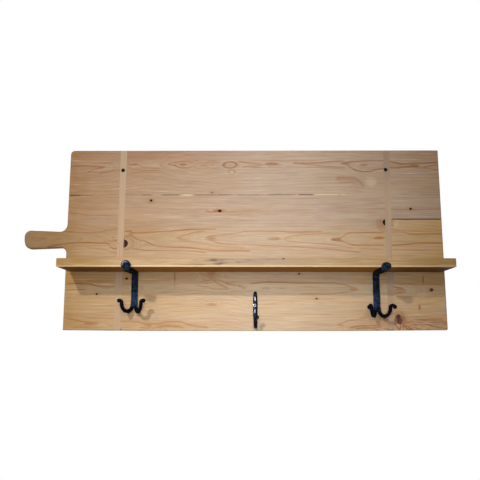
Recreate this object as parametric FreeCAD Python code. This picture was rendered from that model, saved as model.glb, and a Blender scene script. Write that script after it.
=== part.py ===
import FreeCAD, Part
import math
import os

from FreeCAD import Placement, Rotation, Vector

# A pine board with a handle, hung on a wall as a rack: a shelf across its front
# rests on two hand-forged iron brackets that end in double hooks, and one small
# hook sits between them.
#
# X runs to the right along the board, Y into the wall, Z up. The origin is on
# the back of the board, in the middle of the plank that runs out into the handle.
# All sizes are in millimetres and all angles in degrees.

# ---- board ------------------------------------------------------------------
board_thickness = 22.0
board_left = -500.0
board_right = 500.0
board_top = 253.0
board_bottom = -233.0
front = -board_thickness
arris = 2.5

# The glued joints between the four planks. Two have drawn open at one end.
low_joint = board_bottom + 172.0
middle_joint = board_bottom + 294.0
high_joint = board_bottom + 361.0
open_joint_left = 1.8
open_joint_right = 0.9

# ---- handle at the left end ---------------------------------------------------
handle_length = 114.0
handle_middle = board_bottom + 239.5
handle_neck_width = 42.5
handle_end_width = 51.5
neck_fillet_top = 20.0
neck_fillet_bottom = 16.0
handle_arris = 6.0

# ---- battens let into the front -------------------------------------------------
batten_middles = {"left": -355.0, "right": 357.0}
batten_leans = {"left": 2.2, "right": 3.4}
batten_top_width = 17.0
batten_bottom_width = 15.5
batten_depth = 9.0
dovetail_flare = 2.5
batten_pin_place = (-361.0, board_bottom + 228.0)
knot_hole_place = (-347.0, board_bottom + 228.5)
knot_hole_half_width = 11.0
knot_hole_half_height = 9.8
knot_hole_depth = 6.0

# ---- shelf ----------------------------------------------------------------------
shelf_left = -488.0
shelf_right = 493.0
shelf_underside = board_bottom + 153.0
shelf_thickness = 22.0
shelf_depth = 111.0
shelf_arris = 2.0

# ---- forged brackets --------------------------------------------------------------
bracket_middles = {"left": -312.5, "right": 319.0}
bar_width = 16.0
bar_thickness = 7.0
bar_arris = 1.2
heel_radius = 6.0
throat_radius = 3.0
ball_radius = 12.0
ball_lifts = {"left": 3.2, "right": 1.6}
ball_shifts = {"left": 0.0, "right": 1.6}
arm_tip_width = 12.0
arm_tip_length = 22.0
split_heights = {"left": board_bottom + 69.0, "right": board_bottom + 59.5}
prong_start = (7.8, 6.8)
prong_round = 7.6

# Each hook of a bracket. It leans to one side (-1 left, 1 right), its bend runs
# along a heading measured from straight out of the wall, and after a short rise
# its tip curls over along a second heading and ends in a knob.
bracket_hooks = {
    "left": (
        dict(lean=-1, bend_heading=30, bend_radius=21.0, rise=1.0,
             curl_heading=85, curl_radius=4.4, curl_turn=90, tip=2.0, knob_radius=4.3),
        dict(lean=1, bend_heading=28, bend_radius=22.0, rise=1.0,
             curl_heading=85, curl_radius=4.4, curl_turn=90, tip=2.2, knob_radius=4.3),
    ),
    "right": (
        dict(lean=-1, bend_heading=24, bend_radius=21.5, rise=-1.5,
             curl_heading=35, curl_radius=5.0, curl_turn=150, tip=2.0, knob_radius=5.4),
        dict(lean=1, bend_heading=29, bend_radius=22.5, rise=-1.5,
             curl_heading=80, curl_radius=5.6, curl_turn=140, tip=2.0, knob_radius=4.2),
    ),
}

# ---- centre hook --------------------------------------------------------------------
centre_hook_middle = 4.0
centre_hook_foot = board_bottom + 22.5
centre_hook_bend = dict(bend_heading=2, bend_radius=14.0, rise=6.0,
                        curl_heading=60, curl_radius=5.0, curl_turn=60, tip=2.0)
centre_hook_round = 7.6
centre_hook_knob_radius = 4.4
centre_hook_screw_place = (2.2, board_bottom + 65.0)
centre_hook_seat = 3.4

# The flat stem of the centre hook: (height above the board's lower edge, width,
# thickness), a long leaf that narrows to its upper end.
centre_hook_leaf = (
    (101.0, 4.6, 2.2),
    (98.0, 7.4, 3.2),
    (88.0, 9.6, 4.2),
    (70.0, 10.4, 4.6),
    (50.0, 10.2, 4.6),
    (34.0, 9.2, 5.0),
)

# ---- screws -------------------------------------------------------------------------
wall_screw_spacing = 710.0
wall_screw_height = board_top - 56.0
wall_screw = dict(head=9.5, shank=4.5, length=62.0)
iron_screw = dict(head=8.0, shank=4.0, length=23.0)
hook_screw = dict(head=8.0, shank=3.5, length=20.0)
shelf_screw = dict(head=8.0, shank=4.0, length=50.0)
batten_pin = dict(head=2.6, shank=1.6, length=19.0)
bar_screw_heights = {"upper": shelf_underside - 27.0, "lower": shelf_underside - 64.0}
arm_screw_reach = 62.0
shelf_screw_places = {"left": -400.0, "middle": 0.0, "right": 400.0}
shelf_screw_height = shelf_underside + 10.0
hole_clearance = 0.1
stud_gap = 1.0
slot_share = 0.14

beyond = 20.0
SIDES = ("left", "right")
ORIGIN = Vector(0, 0, 0)
UP = Vector(0, 0, 1)
OUT = Vector(0, -1, 0)
FLATNESS = 1e-7
ball_reach = front - shelf_depth - ball_radius - 0.5


# ---- general shapes -------------------------------------------------------------------

def save(name, shape):
    """Write one piece to its own file."""
    shape.exportStep(os.path.join("parts", name + ".step"))


def corner_setback(last, corner, following, radius):
    """Where a rounding of this radius starts and ends at a corner, and its centre."""
    to_last = (last - corner).normalize()
    to_next = (following - corner).normalize()
    half_corner = to_last.getAngle(to_next) / 2
    setback = radius / math.tan(half_corner)
    bisector = (to_last + to_next).normalize()
    centre = corner + bisector * (radius / math.sin(half_corner))
    return corner + to_last * setback, corner + to_next * setback, centre


def rounded_outline(corners):
    """Closed wire in the XZ plane through (x, z, radius) corners, rounded by arcs."""
    points = [Vector(x, 0, z) for x, z, radius in corners]
    joints = []
    for i, (x, z, radius) in enumerate(corners):
        following = points[(i + 1) % len(points)]
        joints.append(corner_setback(points[i - 1], points[i], following, radius))
    edges = []
    for i, (start, end, centre) in enumerate(joints):
        edges.append(Part.LineSegment(joints[i - 1][1], start).toShape())
        radius = corners[i][2]
        if radius > 0:
            middle = centre + (points[i] - centre).normalize() * radius
            edges.append(Part.Arc(start, middle, end).toShape())
    return Part.Wire(edges)


def hammered_outline(corners):
    """Corners like those of a rounded outline, with three flats for each rounding."""
    points = [Vector(x, 0, z) for x, z, radius in corners]
    flats = []
    for i, (x, z, radius) in enumerate(corners):
        if radius == 0:
            flats.append(points[i])
            continue
        following = points[(i + 1) % len(points)]
        start, end, centre = corner_setback(points[i - 1], points[i], following, radius)
        for share in (0, 1 / 3, 2 / 3, 1):
            chord = start + (end - start) * share
            flats.append(centre + (chord - centre).normalize() * radius)
    return flats


def polygon_face(points):
    """Flat face inside a closed run of straight lines."""
    return Part.Face(Part.makePolygon(points + points[:1]))


def patch(corners):
    """Flat face over four corners, or two of them where the corners are out of flat."""
    first, second, third, fourth = corners
    across = third - first
    lift = (fourth - first).dot((second - first).cross(across).normalize())
    if abs(lift) < FLATNESS:
        return [polygon_face(corners)]
    return [polygon_face([first, second, third]), polygon_face([first, third, fourth])]


def skinned(sections):
    """Solid between matching rings of corners, closed at both ends."""
    faces = [polygon_face(sections[0]), polygon_face(sections[-1])]
    for lower, upper in zip(sections, sections[1:]):
        for i in range(len(lower)):
            faces += patch([lower[i - 1], lower[i], upper[i], upper[i - 1]])
    solid = Part.Solid(Part.Shell(faces))
    if solid.Volume < 0:
        solid.reverse()
    return solid


def turned(rings, flats=16):
    """Solid round the Z axis through (radius, height) rings, cut with narrow flats."""
    sections = []
    for radius, height in rings:
        ring = []
        for i in range(flats):
            turn = 2 * math.pi * (i + 0.5) / flats
            ring.append(Vector(radius * math.cos(turn), radius * math.sin(turn), height))
        sections.append(ring)
    return skinned(sections)


def faceted_ball(radius, flats, bands):
    """Ball hammered round in bands of flats."""
    rings = []
    for i in range(bands + 1):
        rise = math.radians(75 * (2 * i / bands - 1))
        rings.append((radius * math.cos(rise), radius * math.sin(rise)))
    return turned(rings, flats)


def drilled(shape, tools):
    """The shape with every tool cut out of it."""
    for tool in tools:
        shape = shape.cut(tool)
    return shape


def aim(shape, place, facing):
    """Move a piece whose head faces up at the origin to a place and a facing."""
    moved = shape.copy()
    moved.Placement = Placement(place, Rotation(UP, facing))
    return moved


# ---- board ------------------------------------------------------------------------------

def board_outline():
    """The board and its handle, planed by hand a little out of square."""
    neck_top = handle_middle + handle_neck_width / 2
    neck_bottom = handle_middle - handle_neck_width / 2
    end_top = handle_middle + handle_end_width / 2
    end_bottom = handle_middle - handle_end_width / 2
    tip = board_left - handle_length
    return rounded_outline([
        (board_left, board_top, 11.0),
        (board_left, neck_top, neck_fillet_top),
        (tip - 1.0, end_top, 17.0),
        (tip - 1.0, handle_middle, 60.0),
        (tip + 3.5, end_bottom, 19.0),
        (board_left + 0.5, neck_bottom, neck_fillet_bottom),
        (board_left + 1.5, board_bottom, 0),
        (-300.0, board_bottom - 1.2, 0),
        (250.0, board_bottom + 0.2, 0),
        (board_right, board_bottom + 2.8, 4.0),
        (board_right - 2.5, board_top - 2.0, 0),
    ])


def arris_radius(point):
    """Round-over at a point of the outline: worn on the board, soft on the handle."""
    if point.x < board_left - neck_fillet_bottom / 2:
        return handle_arris
    return arris


def board_blank():
    """The glued-up board before it is divided, with its worn edges."""
    blank = Part.Face(board_outline()).extrude(Vector(0, front, 0))
    rounding = []
    for number, edge in enumerate(blank.Edges, start=1):
        if edge.BoundBox.YLength < 0.01:
            first, last = (arris_radius(edge.valueAt(end)) for end in edge.ParameterRange)
            rounding.append((number, first, last))
    bench = FreeCAD.newDocument("bench")
    sawn = bench.addObject("Part::Feature", "sawn")
    sawn.Shape = blank
    worn = bench.addObject("Part::Fillet", "worn")
    worn.Base = sawn
    worn.Edges = rounding
    bench.recompute()
    return worn.Shape


def strip(lower, upper):
    """Everything between two sawn lines across the board, each a list of (x, z)."""
    points = [Vector(x, beyond, z) for x, z in lower]
    points += [Vector(x, beyond, z) for x, z in reversed(upper)]
    return polygon_face(points).extrude(Vector(0, front - 2 * beyond, 0))


def sawn_line(height):
    """A line straight across the board and past both ends."""
    return [(board_left - 200.0, height), (board_right + 200.0, height)]


def plank_strips():
    """The room that each plank takes, with the two joints that have drawn open."""
    left_end, right_end = (x for x, z in sawn_line(0))
    second_top = [
        (left_end, high_joint - open_joint_left),
        (board_left, high_joint - open_joint_left),
        (board_left + 55.0, high_joint - 0.2),
        (board_left + 160.0, high_joint),
        (right_end, high_joint),
    ]
    handle_top = [
        (left_end, middle_joint),
        (batten_middles["right"] + batten_bottom_width / 2, middle_joint),
        (board_right, middle_joint - open_joint_right),
        (right_end, middle_joint - open_joint_right),
    ]
    return {
        "plank_bottom": strip(sawn_line(board_bottom - beyond), sawn_line(low_joint)),
        "plank_handle": strip(sawn_line(low_joint), handle_top),
        "plank_second": strip(sawn_line(middle_joint), second_top),
        "plank_top": strip(sawn_line(high_joint), sawn_line(board_top + beyond)),
    }


def dovetail_bar(side):
    """A long bar, narrow at the face and wide inside, that tapers downwards."""
    ends = []
    for height, width, share in (
        (board_bottom - beyond, batten_bottom_width, -0.5),
        (board_top + beyond, batten_top_width, 0.5),
    ):
        middle = batten_middles[side] + batten_leans[side] * share
        root = width / 2 + dovetail_flare
        mouth = width / 2 - dovetail_flare
        ends.append([
            Vector(middle - mouth, front - batten_depth, height),
            Vector(middle + mouth, front - batten_depth, height),
            Vector(middle + root, front + batten_depth, height),
            Vector(middle - root, front + batten_depth, height),
        ])
    return skinned(ends)


def knot_hole():
    """Where a loose knot has dropped out beside the left batten."""
    x, z = knot_hole_place
    oval = Part.Ellipse(ORIGIN, knot_hole_half_width, knot_hole_half_height).toShape()
    plug = Part.Face(Part.Wire(oval)).extrude(UP * 2 * knot_hole_depth)
    return aim(plug, Vector(x, front + knot_hole_depth, z), OUT)


# ---- screws ---------------------------------------------------------------------------------

def shank_rings(shank, start, length):
    """Rings of a shank from its point up to a start height."""
    point = 1.6 * shank
    return [(0.25, -length), (shank / 2, point - length), (shank / 2, start)]


def dome_rings(head):
    """Rings of a low domed head that stands on z = 0."""
    shares = [(0.50, 0), (0.46, 0.16), (0.33, 0.28), (0.12, 0.34)]
    return [(head * out, head * up) for out, up in shares]


def screw_slot(head, top, depth):
    """Straight slot across a head."""
    width = slot_share * head
    return Part.makeBox(head + 2, width, depth + 1, Vector(-head / 2 - 1, -width / 2, top - depth))


def round_head_screw(head, shank, length):
    """Domed slotted head seated at z = 0 on a shank, with a round stud for the wall."""
    point_length = 1.6 * shank
    shoulder = point_length - length
    stud_start = -board_thickness - stud_gap
    neck = turned([(shank / 2, stud_start), (shank / 2, 0)] + dome_rings(head))
    stud = Part.makeCylinder(shank / 2, stud_start - shoulder, Vector(0, 0, shoulder))
    point = turned([(0.25, -length), (0.47 * shank, shoulder)])
    return neck.fuse([stud, point]).cut(screw_slot(head, 0.34 * head, 0.14 * head))


def flat_head_screw(head, shank, length):
    """Countersunk slotted head flush at z = 0, shank pointing down."""
    cone = (head - shank) / 2
    rings = shank_rings(shank, -0.3 - cone, length) + [(head / 2, -0.3), (head / 2, 0)]
    return turned(rings).cut(screw_slot(head, 0, 1.0))


def cross_head_screw(head, shank, length):
    """Low domed head with a cross recess, seated at z = 0, shank pointing down."""
    height = 0.34 * head
    wide = 0.29 * head
    narrow = 0.07 * head
    wing = polygon_face([
        Vector(-wide, -narrow, height + 0.1),
        Vector(wide, -narrow, height + 0.1),
        Vector(narrow, -narrow, 0.1 * height),
        Vector(-narrow, -narrow, 0.1 * height),
    ]).extrude(Vector(0, 2 * narrow, 0))
    crossed = wing.copy()
    crossed.rotate(ORIGIN, UP, 90)
    solid = turned(shank_rings(shank, 0, length) + dome_rings(head))
    return drilled(solid, [wing, crossed])


def nail(head, shank, length):
    """Small round nail with a flat head flush at z = 0."""
    neck = -0.4 * (head - shank)
    return turned(shank_rings(shank, 2 * neck, length) + [(head / 2, neck), (head / 2, 0)], 8)


def shank_hole(screw, place, facing):
    """Hole for a shank, a little wider and longer than the shank."""
    depth = screw["length"] + 0.5
    reach = (screw["shank"] / 2 + hole_clearance) / math.cos(math.pi / 12)
    return aim(turned([(reach, -depth), (reach, 0.1)], 12), place, facing)


def countersink(screw, place, facing):
    """Conical seat for a flat head."""
    wide = screw["head"] / 2 + hole_clearance
    narrow = screw["shank"] / 2 + hole_clearance
    cone = (screw["head"] - screw["shank"]) / 2
    seat = turned([(narrow, -0.3 - cone), (wide, -0.3), (wide, 1)])
    return aim(seat, place, facing)


# ---- forged iron -------------------------------------------------------------------------------

def heading(angle):
    """Level direction, measured from straight out of the wall towards +X."""
    turn = math.radians(angle)
    return Vector(math.sin(turn), -math.cos(turn), 0)


def forged_section(place, along, side, width, thickness, squareness):
    """Corners of a section across a bar's run, from round (2) to nearly square (5)."""
    across = along.cross(side).normalize()
    flat = across.cross(along).normalize()
    count = 12
    points = []
    for i in range(count):
        angle = 2 * math.pi * (i + 0.5) / count
        c = math.cos(angle)
        s = math.sin(angle)
        reach_flat = math.copysign(abs(c) ** (2 / squareness), c) * width / 2
        reach_across = math.copysign(abs(s) ** (2 / squareness), s) * thickness / 2
        points.append(place + flat * reach_flat + across * reach_across)
    return points


def bend_run(foot, bend_heading, bend_radius, rise, curl_heading, curl_radius, curl_turn, tip):
    """Middle line of a hook from its foot to its tip, as (place, along, side).

    It turns down and out through a half circle, rises, curls over, and runs
    straight for the length of its tip.
    """
    away = heading(bend_heading)
    side = away.cross(UP)
    centre = foot + away * bend_radius
    run = []
    bend_steps = 8
    for i in range(bend_steps + 1):
        turn = math.pi * i / bend_steps
        place = centre - away * (bend_radius * math.cos(turn)) - UP * (bend_radius * math.sin(turn))
        run.append((place, away * math.sin(turn) - UP * math.cos(turn), side))
    over = heading(curl_heading)
    curl_centre = centre + away * bend_radius + UP * rise + over * curl_radius
    curl_steps = 4
    for i in range(1, curl_steps + 1):
        turn = math.radians(curl_turn) * i / curl_steps
        place = curl_centre - over * (curl_radius * math.cos(turn)) + UP * (curl_radius * math.sin(turn))
        run.append((place, over * math.sin(turn) + UP * math.cos(turn), over.cross(UP)))
    place, along, side = run[-1]
    run.append((place + along * tip, along, side))
    return run


def forged_bar(run, sizes):
    """Solid drawn out along a run, with a (width, thickness, squareness) at each place."""
    return skinned([forged_section(*station, *size) for station, size in zip(run, sizes)])


def angle_bar(middle, split_height):
    """Flat bar bent to a right angle: one leg down the board, one under the shelf."""
    arm_bottom = shelf_underside - bar_thickness
    profile = hammered_outline([
        (front, split_height, 0),
        (front, shelf_underside, heel_radius),
        (ball_reach, shelf_underside, 0),
        (ball_reach, arm_bottom, 0),
        (front - bar_thickness, arm_bottom, throat_radius),
        (front - bar_thickness, split_height, 0),
    ])
    solid = polygon_face(profile).extrude(Vector(0, -bar_width, 0))
    solid.rotate(ORIGIN, UP, 90)
    solid.translate(Vector(middle - bar_width / 2, 0, 0))
    long_edges = []
    for edge in solid.Edges:
        box = edge.BoundBox
        in_side = box.XLength < 0.01
        at_split = box.ZMax < split_height + 0.01
        at_ball = box.YMax < ball_reach + 0.01
        if in_side and not at_split and not at_ball:
            long_edges.append(edge)
    solid = solid.makeChamfer(bar_arris, long_edges)
    return drilled(solid, [tip_taper(middle, 1), tip_taper(middle, -1)])


def tip_taper(middle, lean):
    """Wedge taken off one side of the arm where it is drawn in to the ball."""
    edge = middle + lean * bar_width / 2
    narrow = middle + lean * arm_tip_width / 2
    outer = middle + lean * bar_width
    height = shelf_underside - 2 * bar_thickness
    corners = [
        Vector(edge, ball_reach + arm_tip_length, height),
        Vector(narrow, ball_reach - 1, height),
        Vector(outer, ball_reach - 1, height),
        Vector(outer, ball_reach + arm_tip_length, height),
    ]
    return polygon_face(corners).extrude(UP * 3 * bar_thickness)


def round_ball():
    """Plain ball."""
    return faceted_ball(ball_radius, 16, 8)


def hammered_ball():
    """Ball knocked flatter on top, with cheeks that draw in below."""
    shares = [(0.20, -1.0), (0.62, -0.82), (0.88, -0.48), (1.03, -0.05),
              (1.00, 0.25), (0.82, 0.50), (0.50, 0.68), (0.15, 0.75)]
    return turned([(ball_radius * out, ball_radius * rise) for out, rise in shares])


def bracket_hook(middle, split_height, lean, bend_heading, curl_heading, knob_radius, **bend):
    """One of the two prongs that the end of the bar is split into."""
    foot = Vector(
        middle + lean * (bar_width - prong_start[0]) / 2,
        front - bar_thickness / 2,
        split_height,
    )
    run = bend_run(foot, lean * bend_heading, curl_heading=lean * curl_heading, **bend)
    square_side = OUT.cross(UP)
    run.insert(0, (foot + UP * bar_thickness, -UP, square_side))
    sizes = []
    drawn_out = 4.0
    for i in range(len(run)):
        share = min(1.0, i / drawn_out)
        width = prong_start[0] + (prong_round - prong_start[0]) * share
        thickness = prong_start[1] + (prong_round - prong_start[1]) * share
        sizes.append((width, thickness, 5.0 - 3.0 * share))
    knob = faceted_ball(knob_radius, 12, 6)
    knob.translate(run[-1][0])
    return forged_bar(run, sizes).fuse(knob)


def bar_screw_place(side, level):
    """Centre of a screw head on the upright leg of a bracket."""
    return Vector(bracket_middles[side], front - bar_thickness, bar_screw_heights[level])


def arm_screw_place(side):
    """Centre of the screw head under the arm of a bracket."""
    return Vector(bracket_middles[side], front - arm_screw_reach, shelf_underside - bar_thickness)


def bracket_holes(side):
    """Countersunk holes through the bar and the arm."""
    holes = []
    for level in bar_screw_heights:
        place = bar_screw_place(side, level)
        holes += [shank_hole(iron_screw, place, OUT), countersink(iron_screw, place, OUT)]
    place = arm_screw_place(side)
    holes += [shank_hole(iron_screw, place, -UP), countersink(iron_screw, place, -UP)]
    return holes


def wood_behind(middle):
    """Room taken by the board behind an iron piece at this place along it."""
    corner = Vector(middle - 4 * bar_width, front, board_bottom)
    return Part.makeBox(8 * bar_width, board_thickness, board_top - board_bottom, corner)


def bracket(side, ball):
    """One forging: angle bar, ball at the end of the arm, and two split hooks."""
    middle = bracket_middles[side]
    split_height = split_heights[side]
    ball.translate(Vector(middle + ball_shifts[side], ball_reach, shelf_underside + ball_lifts[side]))
    solid = angle_bar(middle, split_height).fuse(ball)
    for hook in bracket_hooks[side]:
        solid = solid.fuse(bracket_hook(middle, split_height, **hook))
    return drilled(solid, [wood_behind(middle)] + bracket_holes(side))


def centre_hook():
    """Small single hook: a flat leaf against the board, a round bend and a knob."""
    side = heading(centre_hook_bend["bend_heading"]).cross(UP)
    run = []
    sizes = []
    for height, width, thickness in centre_hook_leaf:
        place = Vector(centre_hook_middle, front - thickness / 2 + 0.4, board_bottom + height)
        run.append((place, -UP, side))
        sizes.append((width, thickness, 3.0))
    last_thickness = centre_hook_leaf[-1][2]
    foot = Vector(centre_hook_middle, front - last_thickness / 2 + 0.4, centre_hook_foot)
    bend = bend_run(foot, **centre_hook_bend)
    run += bend
    sizes += [(centre_hook_round, 0.85 * centre_hook_round, 2.0)] * len(bend)
    knob = faceted_ball(centre_hook_knob_radius, 12, 6)
    knob.translate(run[-1][0])
    solid = forged_bar(run, sizes).fuse(knob)
    x, z = centre_hook_screw_place
    wide = hook_screw["head"] / 2 + 0.4
    head_room = turned([(wide, 0), (wide, 10)])
    place = Vector(x, front - centre_hook_seat, z)
    cuts = [wood_behind(centre_hook_middle), aim(head_room, place, OUT)]
    return drilled(solid, cuts + [shank_hole(hook_screw, place, OUT)])


# ---- assembly ------------------------------------------------------------------------------------

def screws():
    """Every screw and nail in its place: name to (kind, sizes, place, facing)."""
    placed = {}
    for lean, side in zip((-1, 1), SIDES):
        place = Vector(lean * wall_screw_spacing / 2, front, wall_screw_height)
        placed["wall_screw_" + side] = (round_head_screw, wall_screw, place, OUT)
        for level in bar_screw_heights:
            name = "bracket_screw_" + side + "_" + level
            placed[name] = (flat_head_screw, iron_screw, bar_screw_place(side, level), OUT)
        placed["arm_screw_" + side] = (flat_head_screw, iron_screw, arm_screw_place(side), -UP)
    for name, x in shelf_screw_places.items():
        place = Vector(x, 0, shelf_screw_height)
        placed["shelf_screw_" + name] = (flat_head_screw, shelf_screw, place, -OUT)
    x, z = centre_hook_screw_place
    place = Vector(x, front - centre_hook_seat, z)
    placed["centre_hook_screw"] = (cross_head_screw, hook_screw, place, OUT)
    x, z = batten_pin_place
    placed["batten_pin"] = (nail, batten_pin, Vector(x, front, z), OUT)
    return placed


def wood_holes(placed):
    """What the screws and nails take out of the wood."""
    holes = []
    for kind, sizes, place, facing in placed.values():
        holes.append(shank_hole(sizes, place, facing))
        if kind is flat_head_screw and facing == -OUT:
            holes.append(countersink(sizes, place, facing))
        if kind is nail:
            wide = sizes["head"] / 2
            holes.append(aim(turned([(wide, -0.8), (wide, 0.1)], 8), place, facing))
    return holes


def shelf():
    """The shelf board, its arrises worn round except where it meets the board."""
    solid = Part.makeBox(
        shelf_right - shelf_left, shelf_depth, shelf_thickness,
        Vector(shelf_left, front - shelf_depth, shelf_underside),
    )
    worn_edges = []
    for edge in solid.Edges:
        at_wall = edge.BoundBox.YMin > front - 0.01
        upright = edge.BoundBox.ZLength > 1
        if not at_wall and not upright:
            worn_edges.append(edge)
    return solid.makeFillet(shelf_arris, worn_edges)


def main():
    os.makedirs("parts", exist_ok=True)
    blank = board_blank()
    placed = screws()
    holes = wood_holes(placed)
    bars = {side: dovetail_bar(side) for side in SIDES}
    for name, room in plank_strips().items():
        plank = drilled(blank.common(room), list(bars.values()) + holes)
        if name == "plank_handle":
            plank = plank.cut(knot_hole())
        save(name, plank)
    for side, bar in bars.items():
        save("batten_" + side, drilled(blank.common(bar), holes))
    save("shelf_board", drilled(shelf(), holes))
    save("bracket_left", bracket("left", round_ball()))
    save("bracket_right", bracket("right", hammered_ball()))
    save("centre_hook", centre_hook())
    for name, (kind, sizes, place, facing) in placed.items():
        save(name, aim(kind(**sizes), place, facing))


main()
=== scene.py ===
import math

import bmesh
import bpy
from mathutils import Matrix, Vector, noise


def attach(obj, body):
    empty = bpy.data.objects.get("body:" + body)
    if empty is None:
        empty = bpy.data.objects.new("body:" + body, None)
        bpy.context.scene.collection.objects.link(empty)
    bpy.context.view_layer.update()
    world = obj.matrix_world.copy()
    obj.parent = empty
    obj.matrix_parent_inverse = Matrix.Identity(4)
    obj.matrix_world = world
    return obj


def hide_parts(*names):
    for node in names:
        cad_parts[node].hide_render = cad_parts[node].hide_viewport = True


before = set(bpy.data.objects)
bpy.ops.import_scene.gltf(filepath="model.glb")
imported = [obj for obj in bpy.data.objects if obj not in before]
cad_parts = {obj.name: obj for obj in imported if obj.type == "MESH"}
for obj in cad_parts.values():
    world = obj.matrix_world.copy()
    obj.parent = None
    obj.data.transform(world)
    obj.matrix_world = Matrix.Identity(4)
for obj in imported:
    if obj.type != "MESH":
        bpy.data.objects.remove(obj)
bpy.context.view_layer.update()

# A pine board with a handle, hung on a wall as a rack, with a shelf on two
# hand-forged brackets whose ends are hooks, and one small hook between them.
# Lengths are in millimetres in the row frame, apart from the camera, the lamps
# and the floor, which are in metres.
MM = 0.001
UP = Vector((0, 0, 1))
OUT = Vector((0, -1, 0))

# ---- camera, lamps and floor ----
# The camera's turns are in radians, and the spread of the lamps in degrees.
CAMERA_PLACE = (-0.00235, -1.59744, -0.25282)
CAMERA_TURN_LEFT = 0.02158
CAMERA_PITCH_UP = 0.16217
CAMERA_ROLL = 0.00335
CAMERA_LENS = 45.1
CAMERA_SENSOR = 36.0
# Each lamp: where it stands, where it points, its width, its power and its spread.
LAMPS = {
    "key": ((-1.13, -2.42, 1.22), (-0.19, 0.0, -0.20), 0.14, 4.28, 61.0),
    "low": ((0.30, -2.42, 0.59), (0.0, 0.0, -0.20), 0.16, 1.12, 60.0),
    "back": ((0.20, 2.30, 0.90), (0.0, 0.0, 0.0), 0.90, 4.5, 66.0),
    "soft": ((-0.12, -1.75, -0.15), (-0.12, 0.0, -0.16), 0.70, 1.9, 68.0),
}
AMBIENT = 0.16
FLOOR_HEIGHT = -1.30
FLOOR_HALF_WIDTH = 2.4
FLOOR_PALENESS = 0.55

# ---- board ----
FRONT = -22.0
BOARD_BOTTOM = -233.0
BOARD_RIGHT = 500.0
MIDDLE_JOINT = 61.0
HIGH_JOINT = 128.0
# The drawn curves run over this length, from left of the handle to right of the shelf.
FIELD_START = -620.0
FIELD_LENGTH = 1130.0
SHELF_UNDERSIDE = -80.0
SHELF_THICKNESS = 22.0
SHELF_FRONT = FRONT - 111.0
WALL_SCREWS = (-355.0, 355.0)
WALL_SCREW_HEIGHT = 197.0
# The radius of the painted shade ring round each wall screw.
SCREW_SHADE_RADIUS = 5.4
KNOT_HOLE = (-347.0, -4.5, 11.2, 10.0)

# ---- forged iron ----
BRACKET_MIDDLES = {"left": -312.5, "right": 319.0}
BAR_WIDTH = 16.0
BAR_THICKNESS = 7.0
BAR_MIDDLE = FRONT - BAR_THICKNESS / 2
BAR_SQUARENESS = 7.0
HEEL_RADIUS = 6.0
BALL_RADIUS = 12.0
BALL_LIFTS = {"left": 3.2, "right": 1.6}
BALL_SHIFTS = {"left": 0.0, "right": 1.6}
# How far each ball rises above its middle, as a share of its radius.
BALL_RISES = {"left": 1.0, "right": 0.75}
ARM_SPREAD = (18.0, 9.5)
ARM_TIP = (13.0, 7.0)
ARM_TIP_LENGTH = 22.0
BALL_REACH = SHELF_FRONT - BALL_RADIUS - 0.5
SPLIT_HEIGHTS = {"left": BOARD_BOTTOM + 69.0, "right": BOARD_BOTTOM + 59.5}
PRONG_START = (7.8, 6.8)
PRONG_ROUND = 8.3
# A prong goes from this squareness to round over this many sections.
PRONG_SQUARENESS = 5.0
PRONG_SECTIONS = 12.0
ROUND = 2.0
# Each hook's lean, its knob's radius, its bend's heading, radius and rise, its curl's
# heading, radius and turn, and the length of its tip.
BRACKET_HOOKS = {
    "left": ((-1, 4.3, 30, 21.0, 1.0, 85, 4.4, 90, 2.0),
             (1, 4.3, 28, 22.0, 1.0, 85, 4.4, 90, 2.2)),
    "right": ((-1, 5.4, 24, 21.5, -1.5, 35, 5.0, 150, 2.0),
              (1, 4.2, 29, 22.5, -1.5, 80, 5.6, 140, 2.0)),
}
CENTRE_HOOK_MIDDLE = 4.0
CENTRE_HOOK_FOOT = BOARD_BOTTOM + 22.5
# The centre hook's bend, curl and tip, in the same order.
CENTRE_HOOK_BEND = (2, 14.0, 6.0, 60, 5.0, 60, 2.0)
CENTRE_HOOK_ROUND = 7.6
CENTRE_HOOK_KNOB_RADIUS = 4.4
CENTRE_HOOK_SCREW = (2.2, BOARD_BOTTOM + 65.0)
HOOK_SCREW_HEAD = 8.6
HOOK_SCREW_SEAT = 4.7
HOOK_SCREW_TURN = 0.6
# The leaf's height above the board's bottom, its width and its thickness, downwards.
CENTRE_HOOK_LEAF = ((101.0, 4.6, 2.2), (98.0, 7.4, 3.2), (88.0, 9.6, 4.2),
                    (70.0, 10.4, 4.6), (50.0, 10.2, 4.6), (34.0, 9.2, 5.0))
LEAF_SINK = 0.2
LEAF_SQUARENESS = 3.0
BAR_SCREW_HEIGHTS = {"upper": SHELF_UNDERSIDE - 27.0, "lower": SHELF_UNDERSIDE - 64.0}
ARM_SCREW_REACH = 62.0
ARM_DEPTH_AT_SCREW = 9.0
IRON_SCREW_HEAD = 8.0
IRON_SCREW_RISE = 0.9
IRON_SCREW_LENGTH = 21.0
FACING_OUT = Matrix.Rotation(math.pi / 2, 4, "X")
FACING_DOWN = Matrix.Rotation(math.pi, 4, "X")
SLOT_TURNS = {
    "bracket_screw_left_upper": 0.4, "bracket_screw_left_lower": 1.9, "arm_screw_left": 0.8,
    "bracket_screw_right_upper": 2.6, "bracket_screw_right_lower": 1.1, "arm_screw_right": 2.2,
}
FORGING_VOXEL = 0.7
HAMMER_GAP = 6.5
HAMMER_DEPTH = 0.4
PLUMPING = 0.75
KNOB_SPREAD = 0.5


# ---- shader expressions ----

def feed(tree, value, socket):
    """Give a socket a constant, or the output of another node."""
    if isinstance(value, Signal):
        tree.links.new(value.socket, socket)
    elif hasattr(socket.default_value, "__len__") and not hasattr(value, "__len__"):
        socket.default_value = (value,) * len(socket.default_value)
    else:
        socket.default_value = value


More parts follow.
